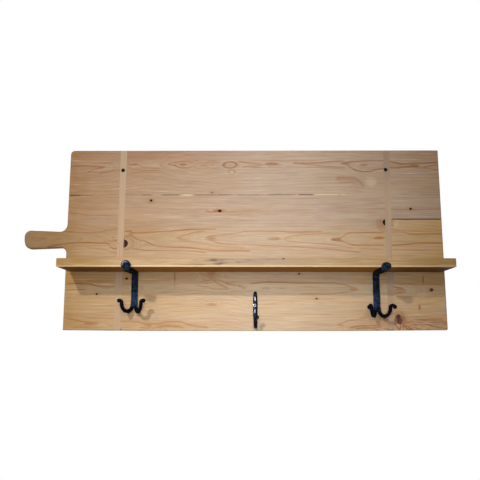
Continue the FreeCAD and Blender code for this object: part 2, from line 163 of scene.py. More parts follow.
class Signal:
    """A number, place or colour that varies over a surface."""

    def __init__(self, tree, socket):
        self.tree = tree
        self.socket = socket

    def through(self, kind, operation, others, output):
        node = self.tree.nodes.new(kind)
        node.operation = operation
        for value, socket in zip((self,) + others, node.inputs):
            feed(self.tree, value, socket)
        return Signal(self.tree, node.outputs[output])

    def math(self, operation, *others):
        return self.through("ShaderNodeMath", operation, others, "Value")

    def vector_math(self, operation, *others):
        output = "Value" if operation == "LENGTH" else "Vector"
        return self.through("ShaderNodeVectorMath", operation, others, output)

    def __add__(self, other):
        return self.math("ADD", other)

    def __sub__(self, other):
        return self.math("SUBTRACT", other)

    def __mul__(self, other):
        return self.math("MULTIPLY", other)

    def inverse(self):
        return self.math("MULTIPLY_ADD", -1.0, 1.0)

    def clamped(self):
        return self.math("MAXIMUM", 0.0).math("MINIMUM", 1.0)


def smooth(value, low, high):
    """0 below low, 1 above high, with a soft step between."""
    node = value.tree.nodes.new("ShaderNodeMapRange")
    node.interpolation_type = "SMOOTHSTEP"
    node.inputs["From Min"].default_value = low
    node.inputs["From Max"].default_value = high
    feed(value.tree, value, node.inputs["Value"])
    return Signal(value.tree, node.outputs["Result"])


def fade(value, low, high):
    """1 below low, 0 above high, with a soft step between."""
    return smooth(value, low, high).inverse()


def between(value, start, end, edge):
    """1 from start to end, with a soft step round each."""
    return smooth(value, start - edge, start + edge) * fade(value, end - edge, end + edge)


def grain_noise(place, stretch, offset=0.0, detail=2.0):
    """Noise from -0.5 to 0.5 whose spots measure 1 / stretch millimetres each way."""
    moved = place.vector_math("MULTIPLY_ADD", stretch, (offset, offset * 1.7, offset * 0.6))
    node = place.tree.nodes.new("ShaderNodeTexNoise")
    node.inputs["Scale"].default_value = 1.0
    node.inputs["Detail"].default_value = detail
    feed(place.tree, moved, node.inputs["Vector"])
    return Signal(place.tree, node.outputs["Fac"]) - 0.5


def away_from(place, x, z, reach_x, reach_z):
    """Distance from a spot, 1 along an oval round it, the same through the wood's depth."""
    inverse = (1.0 / reach_x, 0.0, 1.0 / reach_z)
    shift = (-x / reach_x, 0.0, -z / reach_z)
    return place.vector_math("MULTIPLY_ADD", inverse, shift).vector_math("LENGTH")


def spot(place, x, z, reach_x, reach_z):
    """A soft oval spot, 1 in its middle."""
    away = away_from(place, x, z, reach_x, reach_z)
    return (away * away * -1.0).math("EXPONENT")


def curve(along, points):
    """A drawn curve through (x, y) points over the length of the board."""
    heights = [y for _, y in points]
    lowest = min(heights)
    span = max(1.0, max(heights) - lowest)
    node = along.tree.nodes.new("ShaderNodeFloatCurve")
    line = node.mapping.curves[0]
    scaled = [((x - FIELD_START) / FIELD_LENGTH, (y - lowest) / span) for x, y in points]
    line.points[0].location = scaled[0]
    line.points[1].location = scaled[-1]
    for place in scaled[1:-1]:
        line.points.new(*place)
    for point in line.points:
        point.handle_type = "AUTO_CLAMPED"
    node.mapping.update()
    feed(along.tree, along, node.inputs["Value"])
    return Signal(along.tree, node.outputs["Value"]) * span + lowest


def linear(red, green, blue):
    """A colour given in screen values from 0 to 255."""
    channels = []
    for value in (red, green, blue):
        share = value / 255
        channels.append(share / 12.92 if share <= 0.04045 else ((share + 0.055) / 1.055) ** 2.4)
    return (*channels, 1.0)


# A Mix node's sockets for its factor and its two colours, and for the colour it gives.
MIX_COLOUR_INPUTS = (0, 6, 7)
MIX_COLOUR_OUTPUT = 2


def blended(factor, first, second, mode="MIX"):
    """One colour laid over another."""
    node = factor.tree.nodes.new("ShaderNodeMix")
    node.data_type = "RGBA"
    node.blend_type = mode
    for value, socket in zip((factor, first, second), MIX_COLOUR_INPUTS):
        feed(factor.tree, value, node.inputs[socket])
    return Signal(factor.tree, node.outputs[MIX_COLOUR_OUTPUT])


def stained(amount, colour, tint):
    """A colour multiplied by a tint, by as much as the amount says."""
    return blended(amount, colour, tint, "MULTIPLY")


def brightened(colour, factor):
    """A colour made lighter or darker by a factor near 1."""
    return colour.vector_math("SCALE", 0.0, 0.0, factor)


def new_material(name):
    """A material with its shader, and the place on the surface in millimetres."""
    material = bpy.data.materials.new(name)
    material.use_nodes = True
    tree = material.node_tree
    shader = tree.nodes["Principled BSDF"]
    coordinates = tree.nodes.new("ShaderNodeTexCoord")
    metres = Signal(tree, coordinates.outputs["Object"])
    return material, shader, metres.vector_math("SCALE", 0.0, 0.0, 1.0 / MM)


def split_place(place):
    """The three numbers of a place."""
    node = place.tree.nodes.new("ShaderNodeSeparateXYZ")
    feed(place.tree, place, node.inputs[0])
    return [Signal(place.tree, output) for output in node.outputs]


def field_share(x):
    """How far along the drawn curves a place lies, from 0 to 1."""
    return (x - FIELD_START) * (1.0 / FIELD_LENGTH)


def finish_surface(shader, colour, roughness, shine, relief, depth):
    """A shader's colour, roughness, shine and relief, whose depth is in metres."""
    tree = colour.tree
    feed(tree, colour, shader.inputs["Base Color"])
    feed(tree, roughness, shader.inputs["Roughness"])
    shader.inputs["Specular IOR Level"].default_value = shine
    bump = tree.nodes.new("ShaderNodeBump")
    bump.inputs["Strength"].default_value = 1.0
    bump.inputs["Distance"].default_value = depth
    feed(tree, relief, bump.inputs["Height"])
    tree.links.new(bump.outputs["Normal"], shader.inputs["Normal"])


# ---- wood ----

WOOD_SHINE = 0.08
WOOD_ROUGHNESS = 0.66
WOOD_RELIEF = 0.0003
# Marks with a smaller radius than this are nail holes, and are dark on the face only.
NAIL_RADIUS = 3.2
# A grain line fades in and out over this length at its ends.
LINE_END = 5.0
LATE_TINT = (0.77, 0.53, 0.41, 1.0)
BOLD_TINT = (0.77, 0.51, 0.35, 1.0)
EDGE_STAIN = (0.9, 0.79, 0.76, 1.0)
HONEY_TINT = (1.0, 0.92, 0.78, 1.0)
# The cool tint of the painted shade band under the shelf.
COOL_SHADE_TINT = (1.0, 1.08, 1.16, 1.0)
RAY_TINT = (0.66, 0.50, 0.42, 1.0)
END_TINT = (0.55, 0.47, 0.42, 1.0)
ROSE_TINT = (0.94, 0.90, 0.90, 1.0)
SCRUBBED = linear(232, 216, 196)
SMUDGE = linear(150, 140, 142)
KNOT_BLACK = linear(26, 15, 12)
KNOT_BROWN = linear(84, 52, 46)
KNOT_PURPLE = linear(104, 74, 70)
KNOT_RED = linear(140, 100, 72)
# The knot hole's dark brown: knot wood and a stain round it, and painted shade inside the hole.
HOLE_BROWN = linear(58, 32, 30)
GAP_DARK = linear(58, 42, 36)
FILLER = linear(232, 212, 178)
PATCH = linear(206, 186, 152)
SHELF_GOLD = linear(163, 127, 74)
SHELF_PALE = linear(192, 163, 128)
# The painted shade colour of the shelf's underside.
SHELF_UNDERSIDE_SHADE_TONE = linear(158, 104, 46)
SHELF_WORN = linear(224, 198, 152)
SHELF_GREY = linear(172, 152, 136)
SHELF_KNOT = linear(112, 94, 84)
# The colour of the painted highlight along the shelf's lower front arris.
SHELF_ARRIS_HIGHLIGHT = linear(240, 209, 154)
UPPER_TINT = (1.0, 0.97, 0.86, 1.0)
BATTEN_TONES = (linear(190, 162, 134), linear(184, 157, 132))
# The colour of the painted shade ring round each wall screw.
SCREW_RING_SHADE = linear(40, 38, 42)
# Spots, as (x, z, reach_x, reach_z): the nick in the shelf's upper arris, and the fan of
# fine rays round the heart of the knot at the lower right.
SHELF_DENT = (73.0, SHELF_UNDERSIDE + SHELF_THICKNESS, 4.0, 4.0)
KNOT_FAN = (435.0, -222.0, 85.0, 22.0)
KNOT_HEART = (352.0, -198.0)

# How a colour changes over the length of the board or the shelf, as (x, share).
SCRUBBING = [(-620, 0), (-500, 0), (-470, 0.1), (-395, 0.31), (-292, 0.42), (-225, 0.55),
             (-160, 0.7), (-80, 0.85), (50, 1), (205, 0.8), (270, 0.65), (395, 0.36),
             (433, 0.2), (470, 0.08), (510, 0)]
RIGHT_END = [(-620, 0), (-100, 0), (200, 1), (510, 1)]
TOP_EDGE_DIRT = [(-620, 0.35), (-365, 0.4), (-340, 1), (-180, 0.9), (-60, 0.6), (60, 0.2),
                 (260, 0.35), (510, 0.5)]
# Where the painted shade just under the shelf turns warmer, along its length.
SHADE_WARM_ENDS = [(-620, 0.5), (-340, 0.4), (-220, 0), (220, 0), (330, 0.8), (510, 0.8)]
# The handle plank is darker towards its left end.
HANDLE_SHADE = [(-620, 0.82), (-540, 0.83), (-505, 0.9), (-470, 0.98), (-400, 1), (510, 1)]
SHELF_PALENESS = [(-620, 0), (-440, 0.1), (-330, 0.75), (-200, 1), (100, 0.9), (250, 0.6),
                  (400, 0.35), (510, 0.1)]
# How dark the painted shade on the shelf's underside is along its length.
SHELF_UNDERSIDE_SHADE_ENDS = [(-620, 0.38), (-460, 0.42), (-370, 0.62), (-290, 0.96), (300, 0.96),
               (380, 0.44), (510, 0.3)]
# Painted shade that darkens the whole shelf towards its right end.
SHELF_RIGHT_END_SHADE = [(-620, 1), (330, 1), (410, 0.89), (510, 0.8)]

# The noises that make a plank uneven: its fibre, streaks, hairlines, clouds and large
# patches. Each has its spots per millimetre along x, y and z, its offset and its detail.
WOOD_NOISES = [
    ((0.02, 0.9, 1.1), 7.0, 3.0),
    ((0.006, 0.12, 0.16), 17.0, 3.0),
    ((0.012, 0.3, 0.42), 27.0, 2.0),
    ((0.016, 0.03, 0.05), 47.0, 3.0),
    ((0.008, 0.03, 0.035), 71.0, 3.0),
]

# The joints between the planks by their height: which planks show them, where dirt
# darkens them and where pale filler shows, as (x start, x end, strength).
JOINTS = {
    HIGH_JOINT: (("plank_top", "plank_second"),
                 [(-505, -466, 1), (-466, -430, 0.5), (-345, -301, 0.35), (-301, -274, 0.85),
                  (-248, -200, 0.85), (-160, 110, 0.75), (120, 160, 0.95), (395, 500, 0.3)],
                 [(-191, -167, 0.95), (163, 245, 0.8)]),
    MIDDLE_JOINT: (("plank_second", "plank_handle"), [(368, 500, 1.5)], []),
}
# A joint's dirt or filler fades in and out over this length.
JOINT_END = 6.0

# How each plank was sawn. The heart is the line that the arrow tips of the grain
# lie on, as (x, z), and rings are how many growth rings lie under the face along it,
# as (x, count): an arrow tip stands where the count passes a whole number. Swells
# add rings round a spot, as (x, z, reach_x, reach_z, rings). Lines are single dark
# grain lines, as (strength, half width, x, z, x, z, ...). Lenses are dark ovals and
# loops are oval rings, as (x, z, reach_x, reach_z, strength). Marks are knots and
# nail holes, as (x, z, radius_x, radius_z, colour). Patches are pale ovals. Busy spots,
# as (x, z, reach_x, reach_z, strength), are where the fine grain shows most. Tones are
# the wood's colours at the left end, in the scrubbed middle and at the right end.
PLANKS = {}
PLANKS["plank_top"] = dict(
    tones=((163, 127, 89), (200, 177, 155), (167, 141, 113)),
    heart=[(-620, 204), (-420, 204), (-240, 214), (-60, 208), (120, 214), (240, 216), (300, 208),
        (400, 207), (510, 208)],
    rings=[(-620, 0.2), (-470, 0.7), (-405, 1.1), (-350, 3.4), (-300, 4.2), (-221, 3), (-173, 2.2),
        (-121, 1.5), (-40, 1.3), (36, 1.02), (55, 0.8), (74, 1.02), (160, 1.2), (246, 1),
        (290, 0.45), (360, 0.6), (430, 1.2), (510, 1.6)],
    ring_gap=8.5,
    swells=[(-65, 211, 22, 9, -1.6), (-59, 191, 12, 7, -0.9), (302, 184, 48, 12, -0.9)],
    lines=[
        (0.8, 1.8, -501, 206, -462, 209.5, -429, 208.5, -405, 206.5),
        (0.7, 1.5, -451, 192.5, -429, 201, -405, 206),
        (0.5, 1.2, -446, 219, -419, 217, -381, 221.5),
        (0.6, 1.2, -420, 187, -396, 193, -363, 198.5),
        (0.4, 1.3, -342, 213, -320, 212.5, -301, 206, -276, 202.5, -254, 203),
        (0.45, 1, -336, 201.5, -309, 199, -279, 197, -254, 197),
        (0.7, 1.3, -233, 214, -211, 219.5, -178, 221, -165, 216.5),
        (0.7, 1.3, -233, 213.5, -208, 208.5, -184, 204, -165, 208.5),
        (0.5, 1, -173, 213.5, -165, 221, -149, 225),
        (0.5, 1, -173, 212.5, -165, 206, -148, 201),
        (0.5, 1, -132, 213, -121, 221, -100, 224.5),
        (0.5, 1, -132, 212, -121, 205, -99, 201),
        (0.5, 1, -116, 213, -105, 219.5, -89, 223),
        (0.5, 1, -116, 212, -105, 205, -89, 202),
        (0.7, 1.4, -40, 221.5, -10, 216, 23, 213),
        (0.6, 1.3, -32, 205.5, -5, 207, 23, 211),
        (0.4, 1, -10, 224.5, 58, 223.5, 125, 222.5, 185, 224.5),
        (0.5, 1.1, -5, 203.5, 98, 205, 206, 202, 246, 197.5),
        (0.9, 1.5, 106, 216, 147, 215.5, 193, 218.5, 244, 221.5),
        (0.7, 1.2, 125, 214.5, 179, 209, 220, 205, 244, 203),
        (0.9, 1.5, 236, 216, 255, 219, 276, 220.5, 314, 222, 352, 223),
        (1, 1.7, 236, 215, 249, 212.5, 263, 203, 284, 194, 302, 191.5, 321, 195, 351, 200.5),
        (1, 1.8, 363, 221, 384, 216, 405, 213, 437, 214.5, 470, 215, 496, 219),
        (1, 2.2, 362, 201.5, 394, 203, 421, 205, 445, 205.5),
        (0.8, 2, 456, 203.5, 480, 208, 497, 210.5),
        (0.5, 1.8, 437, 204, 469, 199.5, 497, 195.5),
        (0.55, 4.2, 222, 173, 259, 173, 278, 168.5, 293, 154.5),
        (0.4, 1.8, 229, 161.5, 259, 162.5, 277, 156),
    ],
    lenses=[(-326, 213.5, 11, 2.7, 0.8), (-192, 212.5, 13, 3.5, 0.7), (52, 213.5, 21, 4.6, 0.9),
        (33, 212, 11, 2.1, 0.5), (249, 216, 11, 3.2, 0.9), (296, 210, 11, 2.4, 1),
        (432, 208, 13, 4, 1), (174, 215.5, 38, 2.1, 0.5), (-418, 208, 13, 2.1, 0.7),
        (-270, 173, 9, 2.6, 0.4), (-290, 173, 14, 3, 0.25)],
    loops=[(-65, 211.5, 17, 8.3, 0.8), (-59, 191.5, 9, 7, 0.5)],
    marks=[(-112, 134.5, 2.6, 2, KNOT_RED)],
    patches=[(315, 163, 17, 15, 0.8), (-59, 191.5, 5, 4, 0.5)],
    busy=[(-95, 212, 60, 13, 0.35), (-300, 200, 60, 12, 0.25), (302, 200, 70, 16, 0.25)],
    offset=3.1,
)
PLANKS["plank_second"] = dict(
    tones=((168, 133, 95), (198, 174, 152), (168, 145, 122)),
    heart=[(-620, 70), (510, 60)],
    rings=[(-620, 6), (-89, 6.5), (510, 6)],
    ring_gap=9,
    swells=[(-89, 83, 26, 6, 0.7)],
    lines=[
        (0.3, 1.3, -452, 95, -414, 89.5, -362, 90.5),
        (0.35, 1.2, -456, 73, -413, 72, -362, 73),
        (0.9, 1.2, -128, 82, -106, 81.5, -93, 83),
        (0.3, 1.2, -85, 82.5, -37, 81.5, 22, 81),
        (0.45, 1.2, 270, 90.5, 347, 89, 389, 87, 498, 88.5),
    ],
    lenses=[(-276, 106, 12, 4, 0.3), (-97, 84, 15, 3.4, 0.9)],
    loops=[],
    marks=[(-276, 113, 3.4, 3.3, KNOT_BLACK), (-91, 84, 5, 3.7, KNOT_BLACK),
        (417.6, 89, 3, 3, KNOT_BLACK)],
    patches=[],
    busy=[(-80, 78, 90, 12, 0.25), (-480, 84, 30, 18, 0.3)],
    offset=11.7,
)
PLANKS["plank_handle"] = dict(
    tones=((168, 135, 93), (205, 182, 155), (184, 151, 104)),
    heart=[(-620, 6), (-480, 8), (-343, 0), (-250, 8), (-120, 11), (210, 8), (320, 11), (510, 4)],
    rings=[(-620, 0.4), (-560, 0.9), (-480, 1.7), (-400, 2.6), (-343, 3.6), (-290, 3.6),
        (-204, 2.98), (-122, 1.98), (-40, 1.5), (33, 1), (55, 0.8), (76, 1.04), (95, 0.97),
        (150, 1.3), (205, 1), (270, 0.4), (318, 0.9), (346, 1.2), (510, 1.8)],
    ring_gap=8.5,
    swells=[(-343, -4, 30, 13, -2.4), (345, 53, 24, 16, -1.6)],
    lines=[
        (0.6, 1.3, -502, 27, -438, 25.5, -398, 30, -376, 33.5, -355, 35.5),
        (0.85, 1.5, -549, -13.5, -501, -5, -450, -2, -399, -3, -383, -11, -369, -17.5, -353,
         -17.5),
        (0.4, 1.1, -447, -16, -409, -19, -377, -27.5, -355, -30),
        (0.8, 1.5, -344, 28.5, -330, 29.5, -320, 24, -277, 26, -237, 28.5, -197, 31, -157, 34,
         -100, 34.5),
        (0.8, 1.5, -343, 16.5, -327, 17, -319, 11, -308, 6, -289, 2, -276, -4.5, -254, -11, -222,
         -13.5, -169, -16, -129, -20.5, -95, -23.5, -10, -24),
        (0.6, 1.3, -324, -17.5, -302, -21, -262, -23.5, -196, -23.5, -129, -29),
        (0.5, 1.2, -207, 10.5, -191, 16, -170, 22.5, -132, 30),
        (0.4, 1.1, -201, 9.5, -180, 5, -159, 0, -129, -4.5, -95, -12.5, -23, -15.5),
        (0.7, 1.4, -129, 9.5, -106, 17.5, -76, 20.5, -36, 25, -10, 28.5, 43, 28.5, 123, 26.5, 181,
         27.5),
        (0.6, 1.4, -129, 7, -108, 3, -92, -3, -63, -6, -10, -7, 22, -9, 122, -14, 201, -19.5, 280,
         -27.5),
        (0.5, 1.2, 80, 8.5, 102, 15.5, 131, 19.5, 163, 21.5, 205, 25),
        (0.5, 1.2, 80, 7, 101, 1.5, 136, -1.5, 175, -4.5, 215, -9, 262, -17),
        (0.75, 1.6, 205, 7, 231, 11.5, 247, 21.5, 268, 25, 345, 25.5),
        (0.75, 1.6, 205, 5.5, 231, 2, 254, -5.5, 281, -9, 344, -8.5),
        (0.35, 1.2, 280, -19, 343, -20),
        (0.4, 1, 312, 63, 327, 45.5, 345, 29),
        (0.7, 1.6, 358, 27.5, 400, 25.5, 429, 20.5, 453, 21.5, 497, 21),
        (0.85, 1.7, 362, -9, 386, -8, 417, -5, 451, -3, 498, -4),
        (0.4, 1.4, 366, 34, 427, 29, 498, 30.5),
        (0.35, 1.4, 362, -19.5, 437, -21.5, 498, -20),
    ],
    lenses=[(56, 7.5, 19, 4, 0.6), (-111, 8.5, 11, 3.8, 0.6), (218, 6.5, 13, 3.5, 0.8),
        (333, 10.5, 15, 4.3, 1), (-328, 22.5, 7, 3.5, 0.7)],
    loops=[(-368, 11.5, 8, 8.6, 0.5), (-340, -4, 19, 16.6, 0.35), (348, 52.5, 12, 14, 0.5),
        (348, 52.5, 20, 22, 0.35)],
    marks=[(351, 52.5, 9.4, 8.8, KNOT_BLACK)],
    patches=[(376, 51.5, 9, 11, 1.1)],
    busy=[(-335, -2, 50, 24, 0.35), (-530, -12, 60, 12, 0.3), (200, -22, 160, 12, 0.25)],
    offset=23.9,
)
PLANKS["plank_bottom"] = dict(
    tones=((179, 142, 93), (213, 187, 155), (191, 160, 121)),
    heart=[(-620, -123), (-368, -124), (-200, -112), (-110, -108), (0, -122), (272, -124),
        (393, -127), (510, -128)],
    rings=[(-620, 0.3), (-368, 1), (-250, 2.2), (-110, 2.4), (0, 1.4), (150, 0.7), (272, 1),
        (393, 2), (440, 3), (510, 4)],
    ring_gap=9.5,
    swells=[(-110, -84, 30, 13, -2.6), (-109, -165, 22, 10, -1.4), (375, -203, 30, 20, 3.6),
        (-407, -215, 60, 12, 1.5), (-200, -221, 90, 9, 1.6), (300, -226, 90, 16, 2.2)],
    lines=[
        (0.9, 1.6, -495, -113, -458, -111.5, -432, -113, -405, -118.5, -378, -119.5, -363, -118.5),
        (0.4, 1.3, -443, -103.5, -406, -105, -366, -104.5),
        (0.6, 1.3, -495, -129, -471, -127, -442, -128),
        (0.6, 1.6, -141, -84.5, -123, -90, -110, -99, -96, -109.5, -83, -116.5, -67, -123),
        (0.5, 1.3, -141, -107.5, -125, -103, -110, -99, -99, -91, -86, -84.5),
        (0.55, 1.4, -102, -100, -83, -104, -65, -112.5, -41, -116, -20, -122.5),
        (0.4, 1.3, -152, -115.5, -115, -121.5, -91, -126.5, -67, -123.5),
        (0.35, 1.2, -246, -134.5, -193, -133, -141, -130, -94, -134.5, -46, -129.5, -20, -123),
        (0.3, 1.1, -162, -152, -127, -154, -109, -158, -88, -154, -46, -155.5),
        (0.6, 1.5, -7, -110.5, 56, -107, 121, -109, 187, -108.5, 226, -112, 251, -118.5, 275,
         -126),
        (0.5, 1.4, 121, -138.5, 186, -137.5, 225, -134.5, 256, -131, 275, -126.5),
        (0.55, 1.5, 345, -109, 382, -112, 459, -113.5, 496, -113),
        (0.8, 1.6, 358, -118, 381, -122, 398, -128.5),
        (0.7, 1.4, 363, -135, 383, -134, 398, -129.5),
        (0.4, 1.3, 370, -144, 419, -145, 494, -143.5),
        (0.4, 1.2, -497, -191.5, -454, -195.5, -412, -201.5, -360, -202.5),
        (0.6, 1.5, -486, -203, -443, -211, -406, -216),
        (0.6, 1.5, -474, -226.5, -437, -222.5, -406, -216.5),
        (0.6, 2, -349, -210.5, -323, -209.5, -294, -213, -270, -215.5, -231, -211.5, -205, -210.5,
         -176, -216.5, -140, -223, -119, -225.5),
        (0.6, 1.6, -296, -225, -265, -226, -223, -222.5, -181, -227),
        (0.6, 1.5, 213, -217.5, 236, -210, 254, -204, 291, -199.5),
        (0.8, 1.8, 249, -224.5, 280, -220, 326, -218),
        (0.7, 1.6, 264, -228, 295, -225, 331, -222.5),
        (0.5, 1.2, 375, -225, 403, -219, 442, -216, 493, -219.5),
        (0.5, 1.2, 383, -215, 416, -207, 455, -201, 494, -199),
    ],
    lenses=[(-427, -216, 21, 5.2, 0.6), (-275, -218, 15, 5.2, 0.6), (-225, -221, 40, 4.6, 0.45),
        (-109, -165.5, 13, 3.2, 0.6), (32, -122.5, 13, 3.8, 0.4), (74, -123.5, 11, 2.7, 0.3),
        (262, -126, 13, 3.2, 0.6), (376, -128, 16, 5.4, 0.4), (226, -218, 8, 2.7, 0.5),
        (295, -225.5, 24, 3.5, 0.6), (-110, -85, 15, 6, 0.7), (-112, -93, 9, 4, 0.5),
        (352, -205, 16, 9, 0.25), (-430, -226, 40, 2.5, 0.4)],
    loops=[(375, -203, 15, 20, 0.3)],
    marks=[(374, -197, 6, 7.5, KNOT_PURPLE), (377, -207, 7.4, 8.5, KNOT_PURPLE),
        (-208, -94, 0.8, 13, KNOT_RED), (442, -99, 0.8, 9, KNOT_BROWN),
        (430, -172, 1.6, 6, KNOT_RED), (462.5, -126.5, 5, 4.6, KNOT_BROWN),
        (-335, -98, 3.4, 3, KNOT_BLACK), (-413, -139, 2.8, 2.4, KNOT_BLACK),
        (164, -150, 2.6, 2, KNOT_BROWN), (119, -85, 2.6, 2.2, KNOT_BROWN),
        (-349, -231, 2.6, 2, KNOT_BLACK)],
    patches=[],
    busy=[(375, -213, 120, 26, 1.1), (-112, -98, 55, 18, 0.45), (-109, -165, 34, 13, 0.3),
        (290, -227, 80, 9, 0.4)],
    offset=37.3,
)


def ring_field(place, plan, along, y, z):
    """Growth rings counted out from the heart of the tree to each place."""
    heart = curve(along, plan["heart"])
    depth = curve(along, plan["rings"]) + (y - FRONT) * 0.05
    wander = grain_noise(place, (0.006, 0.02, 0.03), plan["offset"], 1.0)
    aside = (z - heart) * (1.0 / plan["ring_gap"]) + wander * 1.6
    rings = (depth * depth + aside * aside).math("SQRT")
    for *oval, height in plan["swells"]:
        rings = rings + spot(place, *oval) * height
    return rings + grain_noise(place, (0.03, 0.05, 0.15), plan["offset"] + 5.0, 2.0) * 0.35


def late_wood(rings):
    """How dark the wood is across a ring: slowly darker, then a sharp edge."""
    share = rings.math("FRACT")
    return smooth(share, 0.45, 0.93) * fade(share, 0.94, 1.0)


def grain_line(x, z, along, strength, half_width, *run):
    """One dark grain line through the places of a run."""
    points = list(zip(run[::2], run[1::2]))
    beside = (z - curve(along, points)).math("ABSOLUTE")
    near = fade(beside, half_width * 0.3, half_width * 2.0)
    return near * between(x, points[0][0], points[-1][0], LINE_END) * strength


def bold_grain(place, plan, along, x, z):
    """All the single lines, lenses and loops of a plank, the strongest on top."""
    wobble = grain_noise(place, (0.06, 0.0, 0.06), plan["offset"] + 2.0, 2.0)
    z = z + wobble * 2.4
    shown = wobble * 0.0
    for line in plan["lines"]:
        shown = shown.math("MAXIMUM", grain_line(x, z, along, *line))
    for *oval, strength in plan["lenses"]:
        away = away_from(place, *oval) + wobble
        shown = shown.math("MAXIMUM", fade(away, 0.55, 1.25) * strength)
    for *oval, strength in plan["loops"]:
        away = away_from(place, *oval) + wobble * 0.6
        beside = (away - 1.0).math("ABSOLUTE")
        shown = shown.math("MAXIMUM", fade(beside, 0.08, 0.3) * strength)
    return shown


def wood_tone(place, along, tones):
    """Golden at the left end, pale where it was scrubbed, greyer at the right end."""
    left, middle, right = [linear(*tone) for tone in tones]
    scrubbed = curve(along, SCRUBBING)
    scrubbed = scrubbed + grain_noise(place, (0.004, 0.01, 0.02), 61.0, 2.0) * 0.5
    ends = blended(curve(along, RIGHT_END), left, right)
    return blended(scrubbed.clamped(), ends, middle)


def plank_tones(name, place, along, x, z):
    """A plank's colour before its grain."""
    colour = wood_tone(place, along, PLANKS[name]["tones"])
    if name == "plank_handle":
        above = wood_tone(place, along, PLANKS["plank_second"]["tones"])
        shared = smooth(z, 15.0, MIDDLE_JOINT) * fade(x, 330.0, 372.0)
        colour = blended(shared, colour, above)
    if name == "plank_top":
        stain = smooth(z, 205.0, 240.0) * curve(along, TOP_EDGE_DIRT)
        colour = stained(stain, colour, EDGE_STAIN)
    return colour


def knot_rays(place, x, z, middle_x, middle_z):
    """Fine dark lines that spread out from a knot."""
    node = place.tree.nodes.new("ShaderNodeCombineXYZ")
    angle = (z - middle_z).math("ARCTAN2", x - middle_x)
    feed(place.tree, angle, node.inputs["X"])
    feed(place.tree, away_from(place, middle_x, middle_z, 1.0, 1.0), node.inputs["Y"])
    polar = Signal(place.tree, node.outputs[0])
    return smooth(grain_noise(polar, (19.0, 0.02, 0.0), 4.0, 2.0), -0.02, 0.1)


def below_shelf(place, along, x, z, colour):
    """The bottom plank's fan of rays, and the painted shade colour under the shelf: a cooler band
    and warmer ends.
    """
    fan = (spot(place, *KNOT_FAN) * 1.3).math("MINIMUM", 1.0)
    colour = stained(knot_rays(place, x, z, *KNOT_HEART) * fan, colour, RAY_TINT)
    # Painted shade colour: a cooler band in the shelf's lighter shadow.
    cool_shade_band = smooth(z, -141.0, -138.0) * fade(z, -116.0, -110.0)
    colour = stained(cool_shade_band * 0.8, colour, COOL_SHADE_TINT)
    # Painted shade colour: the darker shadow just under the shelf is warmer towards its ends.
    warm_shade_band = smooth(z, -112.0, -106.0) * curve(along, SHADE_WARM_ENDS)
    return stained(warm_shade_band, colour, HONEY_TINT)


def patched(place, plan, face, cloud, fibre, colour):
    """Pale, uneven patches on the face."""
    for *oval, strength in plan["patches"]:
        away = away_from(place, *oval)
        uneven = (cloud * 1.6 + fibre * 0.5 + strength * 0.5) * face
        colour = blended(fade(away + cloud * 1.4, 0.6, 1.2) * uneven, colour, PATCH)
    return colour


def marked(place, plan, face, colour):
    """Knots and nail holes, with ragged rims and a darker halo."""
    for mark_x, mark_z, radius_x, radius_z, mark_colour in plan["marks"]:
        ragged = grain_noise(place, (0.3, 0.3, 0.3), mark_x, 2.0) * 0.6
        away = away_from(place, mark_x, mark_z, radius_x, radius_z) + ragged
        halo = spot(place, mark_x, mark_z, radius_x * 2.6, radius_z * 1.6) * 0.6
        covered = fade(away, 0.8, 1.15)
        if radius_x < NAIL_RADIUS:
            halo = halo * face
            covered = covered * face
        colour = stained(halo, colour, LATE_TINT)
        colour = blended(covered, colour, mark_colour)
    return colour


def joint_lines(name, place, x, z, face, colour):
    """Dirt in the joints, and pale filler along parts of them."""
    for height, (planks, dirty, filled) in JOINTS.items():
        if name not in planks:
            continue
        wave = grain_noise(place, (0.03, 0.0, 0.0), height, 2.0)
        line = (z - height + wave * 1.2).math("ABSOLUTE")
        for runs, paint in ((dirty, GAP_DARK), (filled, FILLER)):
            for start, end, strength in runs:
                close = fade(line, 0.35, 0.9 + 0.7 * strength)
                broken = smooth(wave + 0.25 * strength, -0.05, 0.12) * strength
                shown = close * between(x, start, end, JOINT_END) * broken * face
                colour = blended(shown, colour, paint)
    return colour


